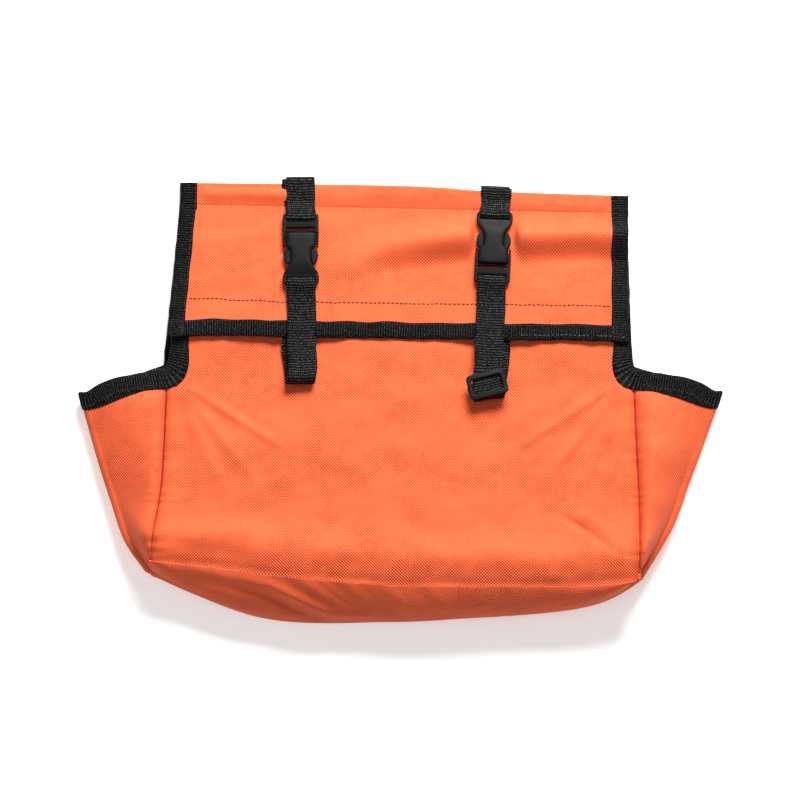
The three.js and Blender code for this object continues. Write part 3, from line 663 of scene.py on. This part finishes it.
def flap_relief(x, y):
    """Height of the flap's outer face over its plane: a fold runs across it, and its sides droop."""
    y = np.asarray(y, float)
    away = smoothstep(0, -20, y)
    near_strap = np.zeros(np.broadcast(x, y).shape)
    for centre in STRAP_X.values():
        near_strap = np.maximum(near_strap, 1 - smoothstep(15.5, 23, np.abs(x - centre)))
    z = 0.7 * broad_ripple(x + 300, y) + 0.35 * middle_ripple(x, y + 200)
    fold_line = np.interp(x, [-70, -56, -9, 51, 120, 200], [-66, -60, -40, -31.5, -28.5, -26])
    depth = smoothstep(-85, 40, x)
    over = y - fold_line
    z += depth * FOLD_RIDGE * smoothstep(-15, 8, over) * smoothstep(34, 8, over)
    z -= depth * FOLD_TROUGH * smoothstep(8, -13, over) * smoothstep(-42, -13, over)
    z += streak(x, y, (-180, -30), (-100, -22), 7, 1.1) + streak(x, y, (-185, -70), (-110, -60), 8, 0.9)
    low = smoothstep(-80, -113, y)
    z += low * (0.9 * np.sin(x / 24.0 + 0.6) * smoothstep(60, 130, x) - 1.3)
    z *= away * (1 - 0.95 * near_strap)
    return z - 4.2 * away * np.clip((np.abs(x) - 120) / 78, 0, 1) ** 2


def flap_wave(x):
    """How far the flap's lower edge strays from straight."""
    wave = 0.7 * np.sin(x / 24 + 0.6) * smoothstep(60, 130, x)
    return 1.5 + 1.1 * smoothstep(40, 110, x) + wave + 0.25 * middle_ripple(x)


def flap_points(x, y, above=0.0):
    x, y = np.broadcast_arrays(np.asarray(x, float), np.asarray(y, float))
    shifted = y + flap_wave(x) * smoothstep(-60, -113, y)
    return moved(np.stack([x, shifted, flap_relief(x, y) + above], -1), FLAP)


def flap_normals(x, y):
    step = 0.5
    along = flap_points(x + step, y) - flap_points(x - step, y)
    down = flap_points(x, y - step) - flap_points(x, y + step)
    return unit(np.cross(down, along))


flap_y = np.linspace(FLAP_TOP, FLAP_BOTTOM, 110)[:, None]
u = np.linspace(0, 1, 240)[None]
flap_x = flap_edge(-1, flap_y) + (flap_edge(1, flap_y) - flap_edge(-1, flap_y)) * u
flap = flap_points(flap_x, flap_y + 0 * flap_x)
flap_coords = np.stack([flap_x + 0.03 * flap_y, flap_y + 0.018 * flap_x], -1)
flap_cloth = place(sheet("flap_cloth", flap, FABRIC, ORANGE, flap_coords), None, "flap_panel")

PILE_THICKNESS = 1.1
hook_x, hook_y = level_grid(np.linspace(-178, 178, 150), np.linspace(-83, -99, 8))
hook = flap_points(hook_x, hook_y, -FABRIC - 0.15)
place(sheet("hook_tape_pile", hook, PILE_THICKNESS, PILE), "flap", "hook_tape")

# -------- bindings

REACH = 13.0  # of a tape over its cloth
TAPE_GAP = 1.15  # from the cloth's face to the tape's outer face
TAPE = 0.75
BINDING_STEP = 0.54
BAND_CLOTH = 2.6  # the band's layers, with a seam allowance
UP = [0.0, 0.0, 1.0]
SECTION_A = np.array([REACH, 12.2, 10.6, 8, 5, 2.4])


def lifted_clear(piece, ring, cloth_points):
    """Moves the tape's outer face up where the cloth under it would show through."""
    tree = KDTree(len(cloth_points))
    for i, point in enumerate(cloth_points):
        tree.insert((point[0], point[1], 0), i)
    tree.balance()
    for vertex in piece.data.vertices:
        if vertex.index % ring < len(SECTION_A):
            i, distance = tree.find((vertex.co.x / MM, vertex.co.y / MM, 0))[1:]
            if distance < 2:
                vertex.co.z = max(vertex.co.z, (cloth_points[i][2] + TAPE) * MM)
    piece.data.update()


def binding(
    name, body, node, path, normals, sign, turn=8, reach=1.0, cloth=FABRIC, corner=None, fan=1, under=None
):
    """A ribbed tape folded over the edge of a cloth, whose outer face holds the path.

    turn and fan smooth the path and the ribs, and the tape is wider where it gathers round the corner.
    """
    path, normals = resampled(path, 1.0, np.broadcast_to(normals, path.shape))[1:]
    path, normals = smoothed(path, turn), unit(smoothed(normals, turn))
    s, path, normals = resampled(path, BINDING_STEP, normals)
    normals = unit(normals)
    tangent = unit(smoothed(np.gradient(path, axis=0), fan))
    inward = unit(np.cross(normals, tangent) * sign)
    normals = unit(np.cross(tangent, inward) * sign)
    half = cloth / 2 + TAPE_GAP
    nose = np.radians(np.linspace(90, 270, 8)[1:-1])
    wide = np.full((len(s), 1), reach)
    if corner is not None:
        wide += 0.3 * bell(np.linalg.norm(path - corner, axis=1), 0, 15)[:, None]
    nose_a = np.broadcast_to(0.4 + half * np.cos(nose), (len(s), 6))
    a = np.concatenate([SECTION_A * wide, nose_a, SECTION_A[::-1] * wide], 1)
    dip = np.array([0.55, 0.2, 0.28, 0.05, 0, 0])
    b = np.concatenate([half - dip, half * np.sin(nose), -(half - dip)[::-1]])
    out_a = np.concatenate([np.zeros(6), np.cos(nose), np.zeros(6)])
    out_b = np.concatenate([np.ones(6), np.sin(nose), -np.ones(6)])
    rib = 0.17 * np.cos(2 * np.pi * s / RIB_PITCH) + 0.10 * edge_ripple(s * 2.2)
    slip = 0.18 * edge_ripple(s + 50)[:, None]
    a = a + rib[:, None] * out_a + slip * (a > 9)
    b = b + rib[:, None] * out_b
    inner_a = np.concatenate([wide * REACH - 0.5, np.ones_like(wide)], 1)[:, [0, 1, 1, 0]]
    inner_b = np.array([-1, -1, 1, 1]) * (half - TAPE)
    a = np.concatenate([a, inner_a + slip * (inner_a > 9)], 1)
    b = np.concatenate([b, np.broadcast_to(inner_b, (len(s), 4))], 1)
    coords = np.stack([a, np.broadcast_to(s[:, None], a.shape)], -1)
    origin = path - normals * cloth / 2
    piece = sweep(name, origin, inward, normals, a, b, BINDING, coords)
    if under is not None:
        lifted_clear(piece, a.shape[1], under)
    place(piece, body, node)
    return path, normals, inward, half


STITCH_PITCH = 3.8


def stitches(name, body, path, normals, length=2.9, radius=0.28, material=THREAD):
    """A row of separate short threads along a path, each dipping into the cloth at its ends."""
    s, path, normals = resampled(path, STITCH_PITCH / 6, normals)
    groups = [slice(i, i + 6) for i in range(0, len(s) - 6, 6)]
    angle = np.linspace(0, 2 * np.pi, 6, endpoint=False)
    points, faces = [], []
    for group in groups:
        line, normal = path[group][:5], unit(normals[group][:5])
        reach = np.linspace(0, length / (STITCH_PITCH * 4 / 6), 5)[:, None]
        line = line[0] + (line[-1] - line[0]) * reach
        tangent = unit(line[-1:] - line[:1])
        side = unit(np.cross(normal, tangent))
        arch = np.array([-0.25, 0.10, 0.16, 0.10, -0.25])[:, None]
        jitter = side[:1] * rng.normal(0, 0.12)
        size = radius * np.array([0.55, 1, 1, 1, 0.55])[:, None, None]
        centre = line + normal * arch + jitter
        round_thread = np.cos(angle)[:, None] * side[:, None] + np.sin(angle)[:, None] * normal[:, None]
        start = len(points) * 30
        points.append((centre[:, None] + size * round_thread).reshape(-1, 3))
        faces += grid_faces(5, 6, start, closed=True)
        faces += [list(range(start, start + 6)), list(range(start + 24, start + 30))]
    place(make(name, np.concatenate(points), faces, material), body)


def binding_stitches(name, body, made, inset=11.4, keep=slice(None), thread=THREAD):
    path, normals, inward, half = made
    line = path - normals * (FABRIC / 2 - half + 0.22) + inward * inset
    stitches(name, body, line[keep], normals[keep], material=thread)


NECK_FROM = 4  # rows of the front from its top to the start of the mouth's binding
FRONT_NECK_ROWS = ROWS // 3 - 1
front_normals = grid_normals(front)

for side, s in SIDES.items():
    sign = s["sign"]
    column = 0 if sign < 0 else -1
    neck_path = front[NECK_FROM:FRONT_NECK_ROWS, column]
    neck_normals = front_normals[NECK_FROM:FRONT_NECK_ROWS, 6 if sign < 0 else -7]
    mouth_normals = grid_normals(gusset[side])[4]
    mouth_normals[:5] = mouth_normals[5]
    path = np.concatenate([neck_path, gusset[side][0]])
    normals = np.concatenate([neck_normals, unit(mouth_normals)])
    made = binding(
        f"{side}_mouth_binding_tape", "pouch", f"mouth_binding_{side}", path, normals, -sign, turn=11,
        reach=1.1, corner=front[FRONT_NECK_ROWS, column], fan=32,
        under=np.concatenate([front[::2].reshape(-1, 3), gusset[side][:40, :46].reshape(-1, 3)]),
    )
    binding_stitches(f"{side}_mouth_stitches", "pouch", made)

    side_y = np.linspace(1.5, -114.8 if sign < 0 else -108, 90)
    side_x = flap_edge(sign, side_y)
    cut = flap_points(side_x, side_y)
    facing = flap_normals(side_x - sign * 6, side_y)
    made = binding(
        f"{side}_flap_binding_tape", "flap", f"flap_binding_{side}", cut, facing, -sign,
        cloth=FABRIC + 0.25 - 0.25 * sign,
    )
    binding_stitches(f"{side}_flap_stitches", "flap", made)

    top, seam = np.array(TOP_EDGE[0 if sign < 0 else -1]), np.array(SEAM_LINE[0 if sign < 0 else 1])
    steps = np.linspace(0, 1.16, 14)[:, None]
    band_side = np.column_stack([top + (seam - top) * steps, np.full(14, BAND_HIGH + 0.1)])
    made = binding(
        f"{side}_band_binding_tape", "pouch", f"band_binding_{side}", band_side, UP, -sign, cloth=BAND_CLOTH
    )
    binding_stitches(f"{side}_band_stitches", "pouch", made)

    back_line = spline(s["back_neck"], np.linspace(0.48, 1.0, 70))
    back_path = np.column_stack([back_line, np.full(70, BACK_EDGE_LIFT + FABRIC)])
    binding(f"{side}_back_binding_tape", "pouch", f"back_binding_{side}", back_path, UP, -sign)

binding("bib_binding_tape", "pouch", "bib_binding", front[0], front_normals[3], -1, turn=3)
lower_x = np.linspace(-196.2, 198.2, 300)
lower = flap_points(lower_x, np.full(300, FLAP_BOTTOM))
lower_made = binding(
    "lower_flap_binding_tape", "flap", "flap_binding_bottom", lower,
    flap_normals(lower_x, np.full(300, FLAP_BOTTOM + 6)), 1, turn=5,
)
binding_stitches("lower_flap_stitches", "flap", lower_made)
# A second row of stitches shows on the right of the flap's lower edge; the pale grey of its thread is a
# painted glint
binding_stitches("lower_flap_edge_stitches", "flap", lower_made, 3.0, slice(560, None), GLINT_PAINTED_THREAD)

seam_x = np.linspace(-181, 183, 330)
seam_y = np.interp(seam_x, [-181, -100, 20, 183], [-80.6, -83.2, -82.6, -81.6])
seam = flap_points(seam_x, seam_y + 0.22 * edge_ripple(seam_x), 0.05)
out_of_flap = np.broadcast_to(np.array(FLAP)[:3, 2], seam.shape)
stitches("flap_tape_stitches", "flap", seam, out_of_flap, length=3.1, radius=0.5)

# -------- webbing

WEB = 1.6
WEB_WIDTH = 25.0
WEB_STEP = 0.42
STRAP = {
    side: FLAP @ Matrix.Translation((STRAP_X[side], 0, 0)) @ Matrix.Rotation(math.radians(turn), 4, "Z")
    for side, turn in (("left", 1.47), ("right", -1.63))
}


def strap_points(side, points):
    return moved(points, STRAP[side])


def webbing(name, path, across):
    """A ribbed strap along a world path; across is its width's direction."""
    fine = spline(path, np.linspace(0, 1, 40 * len(path)))
    s, centre = resampled(fine, WEB_STEP)
    centre = smoothed(centre, 5)
    across = np.broadcast_to(unit(np.asarray(across, float)), centre.shape)
    tangent = unit(np.gradient(centre, axis=0))
    normal = unit(np.cross(across, tangent))
    columns = np.linspace(-1, 1, 17) * (WEB_WIDTH / 2 - 0.5)
    a = np.concatenate([columns, [WEB_WIDTH / 2], columns[::-1], [-WEB_WIDTH / 2]])
    face = np.concatenate([np.ones(17), [0], -np.ones(17), [0]])
    rib = np.cos(2 * np.pi * (s[:, None] + WEB_SLANT * np.abs(a)) / WEB_PITCH)
    b = face * (WEB / 2 + 0.08 * rib) - face * 0.18 * (np.abs(a) > 11.5)
    a = a + 0.16 * rib * (face == 0) * np.sign(a) + 0.25 * edge_ripple(s)[:, None]
    coords = np.stack([np.broadcast_to(a, b.shape), np.broadcast_to(s[:, None], b.shape)], -1)
    return sweep(name, centre, across, normal, np.broadcast_to(a, b.shape), b, WEBBING, coords)


OVER_TOP, UNDER_TOP = 3.85, 2.2  # radii of a strap's two layers round the top edge


def upper_strap(side, x, top_y, bar, turn_in, under_shift):
    """Path from behind the band, over the top edge, round the buckle's end bar, and back under itself.

    bar and turn_in are the y of that bar and of the slot beside it, in the strap's frame.
    """
    c = top_y - WEB / 2 - OVER_TOP
    over = [[x, 168, 0.85], [x, 178, 0.85], [x, c, 0.8]]
    for t in np.radians([-60, -30, 0, 30, 60]):
        over.append([x, c + OVER_TOP * math.cos(t), 4.65 + OVER_TOP * math.sin(t)])
    over += [[x, c, 8.5], [x, c - 7, 8.5], [x, 174, 8.6], [x, 170, 9.0]]
    through = [
        [0, bar + 7, 6.6], [0, bar + 2.5, 8.3], [0, bar - 1.4, 8.75], [0, turn_in + 1.2, 8.35],
        [0, turn_in, 6.9], [0, turn_in, 4.0], [0, turn_in + 1.0, 2.5], [0, bar, 2.2], [0, bar + 5, 2.2],
    ]
    u = x + under_shift
    m = x + under_shift * 0.6
    under = [[m, 168.5, 7.2], [u, 174, 6.8], [u, c, 6.8]]
    for t in np.radians([50, 0, -50]):
        under.append([u, c + UNDER_TOP * math.cos(t), 4.6 + UNDER_TOP * math.sin(t)])
    under += [[u, c, 2.45], [u, 176, 2.45], [u, 168, 2.45]]
    return np.concatenate([over, strap_points(side, through), under])


ACROSS = {side: strap_points(side, [1, 0, 0]) - strap_points(side, [0, 0, 0]) for side in STRAP}
LEFT_TOP = -5.5  # y of each buckle's male end: at the top on the left, at the bottom on the right
RIGHT_END = -64.2
FEMALE_BAR = 61.8

right_bar = RIGHT_END + FEMALE_BAR
upper_runs = (
    ("left", -86.3, 192.6, LEFT_TOP - 1.7, LEFT_TOP - 6.3, -3.2),
    ("right", 82.3, 184.5, right_bar, right_bar - 3.9, 0.8),
)
for side, x, *run in upper_runs:
    upper = webbing(f"{side}_upper_webbing", upper_strap(side, x, *run), ACROSS[side])
    place(upper, None, f"{side}_upper_strap", f"{side}_strap_anchor")
    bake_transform(upper)


def arc_points(y, z, r, angles):
    return [[y + r * math.cos(t), z + r * math.sin(t)] for t in np.radians(angles)]


def run_points(side, yz, x=0.0):
    yz = np.asarray(yz, float)
    return strap_points(side, np.column_stack([np.broadcast_to(x, len(yz)), yz]))


# Left loop: under the female half's end bar, up through its slot, over the bar, down, round and up again
left_slot = LEFT_TOP - 57.6
left_front = [
    [LEFT_TOP - 64.3, 1.95], [LEFT_TOP - 62.0, 2.1], [LEFT_TOP - 59, 2.6], [left_slot, 4.6],
    [left_slot - 0.2, 7.2], [left_slot - 1.6, 8.6], [LEFT_TOP - 62, 8.7], [LEFT_TOP - 65.5, 7.4],
    [LEFT_TOP - 71, 5.3], [LEFT_TOP - 80, 4.0], [-100, 2.9], [-112, 2.3], [-124, 2.5], [-136, 3.8],
    [-143, 5.0],
]
left_bottom = arc_points(-148.5, -0.3, 5.5, [100, 130, 160, 190, 220, 250])
left_back = [[-143, -5.6], [-133, -5.3], [-126, -4.9], [-121, -4.6]]
left_yz = left_front + left_bottom + left_back
left_x = np.interp(np.arange(len(left_yz)), [0, 14, 20, 24], [0, 0.6, -1.5, -4.6])
left_lower = webbing("left_lower_webbing", run_points("left", left_yz, left_x), ACROSS["left"])
place(left_lower, "left_loop", "left_lower_strap")

# The straps' inner runs go on from the loops, up under the flap to its cloth
inner_yz = [
    [-121, -4.6], [-117, -4.2], [-112, -3.7], [-98, -3.6], [-84, -3.5], [-76, -2.6], [-60, -2.4], [-42, -2.4]
]
for side, far, ends in (("left", -4.6, "left_loop"), ("right", 6.5, "right_loop")):
    xs = np.linspace(far, far * 0.3, len(inner_yz))
    inner = webbing(f"{side}_inner_webbing", run_points(side, inner_yz, xs), ACROSS[side])
    place(inner, None, f"{side}_inner_strap")
    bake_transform(inner)

# Right loop: round the male half's end bar, down, through the slider, round and up again
right_front = [
    [RIGHT_END + 9, 1.6], [RIGHT_END + 4.5, 2.1], [RIGHT_END + 5.6, 2.6], [RIGHT_END + 6.2, 4.4],
    [RIGHT_END + 6.0, 7.0], [RIGHT_END + 4.4, 8.5], [RIGHT_END + 1.4, 8.7], [RIGHT_END - 2, 7.8],
    [RIGHT_END - 7, 6.2], [RIGHT_END - 15, 5.2], [RIGHT_END - 26, 4.8], [-104, 4.8], [-120, 4.8], [-136, 4.8],
    [-148, 4.8], [-156, 4.8],
]
right_bottom = arc_points(-159.5, -0.4, 5.2, [90, 130, 165, 200, 235, 265])
right_back = [[-150, -5.7], [-140, -5.5], [-128, -5.0], [-121, -4.6]]
right_yz = right_front + right_bottom + right_back
right_x = np.interp(np.arange(len(right_yz)), [0, 13, 16, 22, 25], [0, 0, 0, 4.5, 6.5])
SLIDER_TILT = math.radians(16.5)
right_lower = webbing("right_lower_webbing", run_points("right", right_yz, right_x), ACROSS["right"])
# The strap's rows turn with the slider near the loop's bottom
mesh = right_lower.data
co = np.empty(len(mesh.vertices) * 3)
mesh.vertices.foreach_get("co", co)
co = moved(co.reshape(-1, 3) / MM, STRAP["right"].inverted())
turned = math.tan(SLIDER_TILT) * smoothstep(-132, -150, co[:, 1])
co[:, 1] += turned * co[:, 0] * np.where(co[:, 2] < -2, 0.5, 1)
mesh.vertices.foreach_set("co", (strap_points("right", co) * MM).ravel())
mesh.update()
place(right_lower, "right_loop", "right_lower_strap")

# -------- buckles


PLATE_LOW, PLATE_HIGH = -2, 2  # faces of the flat parts of a buckle
ARC_POINTS = 7


def corner(x, y, r, start):
    turn = np.radians(np.linspace(start, start + 90, ARC_POINTS))
    return [(x + r * math.cos(t), y + r * math.sin(t)) for t in turn]


def ring(half, low, high, r):
    """Outline of a rounded rectangle, half its width to each side."""
    x, a, b = half - r, low + r, high - r
    return corner(x, a, r, -90) + corner(x, b, r, 0) + corner(-x, b, r, 90) + corner(-x, a, r, 180)


def mirror(half):
    return list(half) + [(-x, y) for x, y in reversed(half)]


def rounded_plate(name, loops, low, high, bevel, matrix):
    """A moulded flat piece with rounded edges, from an outline and its holes."""
    curve = bpy.data.curves.new(name, "CURVE")
    curve.dimensions = "2D"
    curve.fill_mode = "BOTH"
    for loop in loops:
        line = curve.splines.new("POLY")
        line.points.add(len(loop) - 1)
        line.points.foreach_set("co", np.array([(x, y, 0, 1) for x, y in loop], np.float32).ravel())
        line.use_cyclic_u = True
    curve.extrude = (high - low) / 2 - bevel
    curve.bevel_depth = bevel
    curve.bevel_resolution = 3
    curve.offset = -bevel
    source = linked(name + "_curve", curve)
    shaped = bpy.data.meshes.new_from_object(source.evaluated_get(bpy.context.evaluated_depsgraph_get()))
    bpy.data.objects.remove(source)
    tidy = bmesh.new()
    tidy.from_mesh(shaped)
    bmesh.ops.remove_doubles(tidy, verts=tidy.verts, dist=0.01)
    bmesh.ops.recalc_face_normals(tidy, faces=tidy.faces)
    bmesh.ops.translate(tidy, verts=tidy.verts, vec=(0, 0, (high + low) / 2))
    bmesh.ops.transform(tidy, matrix=Matrix.Scale(MM, 4) @ matrix, verts=tidy.verts)
    tidy.to_mesh(shaped)
    tidy.free()
    shaped.name = name
    shaped.materials.clear()
    shaped.materials.append(PLASTIC)
    shaped.shade_smooth()
    shaped.set_sharp_from_angle(angle=math.radians(32))
    return linked(name, shaped)


def joined(name, pieces):
    bpy.ops.object.select_all(action="DESELECT")
    for piece in pieces:
        piece.select_set(True)
    bpy.context.view_layer.objects.active = pieces[0]
    bpy.ops.object.join()
    pieces[0].name = pieces[0].data.name = name
    return pieces[0]


def tube(name, rows, matrix, power, count):
    """A moulded body from rows of (y, half width, half thickness, middle height), squarer with more power."""
    rows = np.array(rows, float)
    t = np.linspace(0, 1, 70)
    fine = np.stack([np.interp(t * (len(rows) - 1), np.arange(len(rows)), rows[:, k]) for k in range(4)], -1)
    fine = smoothed(fine, 5)
    angle = np.linspace(0, 2 * np.pi, count, endpoint=False)
    shape = lambda f: np.sign(f) * np.abs(f) ** (2 / power)
    a = fine[:, 1:2] * shape(np.cos(angle))
    b = fine[:, 2:3] * shape(np.sin(angle)) + fine[:, 3:4]
    origin = np.zeros((len(fine), 3))
    origin[:, 1] = fine[:, 0]
    x = np.broadcast_to([1.0, 0, 0], origin.shape)
    z = np.broadcast_to([0, 0, 1.0], origin.shape)
    return sweep(name, origin, x, z, a, b, PLASTIC, matrix=matrix)


def male_half(name, matrix):
    """Frame with two slots, its tongue, and the ribs of its grip."""
    outline = mirror(corner(12.3, 3.2, 3.2, -90) + [
        (15.5, 10), (15.6, 20), (15.2, 29.5), (14.2, 30.8), (13.6, 29.5), (13.5, 17.6), (12.7, 16.7),
        (4.2, 16.7), (4.2, 38), (3.0, 40),
    ])
    slots = [ring(12.6, 3.6, 7.4, 1.2), ring(12.6, 13, 15.4, 0.8)]
    body = rounded_plate(name, [outline, *slots], PLATE_LOW, PLATE_HIGH, 0.8, matrix)
    rib = [(7.9, 0.3, 0.3, 1.9), (8.3, 0.72, 0.62, 2.0), (12.3, 0.72, 0.62, 2.0), (12.8, 0.3, 0.3, 1.9)]
    ribs = [
        tube(f"{name}_rib_{i}", rib, matrix @ Matrix.Translation((x, 0, 0)), 2.4, 12)
        for i, x in enumerate(np.linspace(-11.4, 11.4, 11))
    ]
    return joined(name, [body, *ribs])


def prong(name, sign, matrix):
    outline = [
        (8.8, 17.4), (11.2, 17.4), (11.4, 30), (12.2, 31.4), (13.6, 32.6), (14.7, 35.2), (14.9, 38.2),
        (14.3, 41.2), (13.0, 43.6), (11.4, 45.0), (10.2, 44.8), (9.4, 43.4), (8.8, 41),
    ][::sign]
    return rounded_plate(name, [[(sign * x, y) for x, y in outline]], PLATE_LOW, PLATE_HIGH, 0.75, matrix)


def female_half(name, matrix):
    """Waisted housing over the prongs, and the end with its slot."""
    rows = [
        (17.2, 11.2, 3.2), (17.6, 12.6, 4.4), (19, 13.2, 4.9), (24, 13.3, 5.0), (28, 13.1, 5.0),
        (29.8, 12.2, 5.0), (31.4, 10.6, 5.0), (33.2, 9.4, 5.0), (36, 8.8, 5.0), (39.5, 8.7, 4.9),
        (42.5, 9.1, 4.8), (45, 9.9, 4.6), (47.5, 11.3, 4.2), (50, 13.2, 3.6), (52.3, 14.6, 2.9),
        (54.4, 15.2, 2.2), (56.4, 15.2, 1.9),
    ]
    body = tube(f"{name}_body", [(*row, 0) for row in rows], matrix, 5.0, 48)
    outline = mirror([(11.5, 51.5), (15.0, 53.2), (15.6, 56)] + corner(11.6, 59.5, 4.0, 0))
    slot = ring(12.6, 56.2, 60.2, 0.9)
    end = rounded_plate(f"{name}_end", [outline, slot], PLATE_LOW, PLATE_HIGH, 0.85, matrix)
    return joined(name, [body, end])


HALF_TURN = Matrix.Rotation(math.pi, 4, "Z")
BUCKLE_Z = 5.4
BUCKLE = {
    "left": STRAP["left"] @ Matrix.Translation((0, LEFT_TOP, BUCKLE_Z)) @ HALF_TURN,
    "right": STRAP["right"] @ Matrix.Translation((0, RIGHT_END, BUCKLE_Z)),
}
BODIES = {"left": ("flap", "left_loop"), "right": ("right_loop", "flap")}
for side, matrix in BUCKLE.items():
    male_body, female_body = BODIES[side]
    place(male_half(f"{side}_male", matrix), male_body, f"{side}_buckle_male")
    place(female_half(f"{side}_female", matrix), female_body, f"{side}_buckle_female")
    for which in ("left", "right"):
        sign = (-1 if which == "left" else 1) * (-1 if side == "left" else 1)
        node = f"{side}_buckle_prong_{which}"
        place(prong(f"{side}_prong_{which}", sign, matrix), node, node)

slider_at = STRAP["right"] @ Matrix.Translation((0, -153.5, 4.8)) @ Matrix.Rotation(SLIDER_TILT, 4, "Z")
slider_loops = [ring(17, -11, 11, 4), ring(13, -6.5, 6.5, 2)]
slider_ring = rounded_plate("slider_ring", slider_loops, 1.0, 3.5, 0.9, slider_at)
bar_rows = [(s, 2.0, 1.0, -2.2) for s in (-17, -16, 16, 17)]
bar = tube("slider_bar", bar_rows, slider_at @ Matrix.Rotation(math.pi / 2, 4, "Z"), 3.0, 20)
posts = []
for i, x in enumerate((-15.4, 15.4)):
    post = [(x - 1.6, -2), (x + 1.6, -2), (x + 1.6, 2), (x - 1.6, 2)]
    posts.append(rounded_plate(f"slider_post_{i}", [post], -3.2, 2, 0.5, slider_at))
place(joined("slider", [slider_ring, bar, *posts]), "tri_glide", "tri_glide")

# -------- the last pieces

tape_low, tape_high = (np.array(corner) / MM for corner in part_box("loop_tape"))
tape_x, tape_y = level_grid(
    np.linspace(tape_low[0], tape_high[0], 240), np.linspace(tape_high[1], tape_low[1], 14)
)
tape_z = front_height(tape_x, tape_y) + body_relief(tape_x, tape_y) + TAPE_GAP
tape = np.stack([tape_x, tape_y, tape_z], -1)
place(sheet("loop_tape_pile", tape, PILE_THICKNESS, PILE), "pouch", "loop_tape")

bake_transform(flap_cloth)
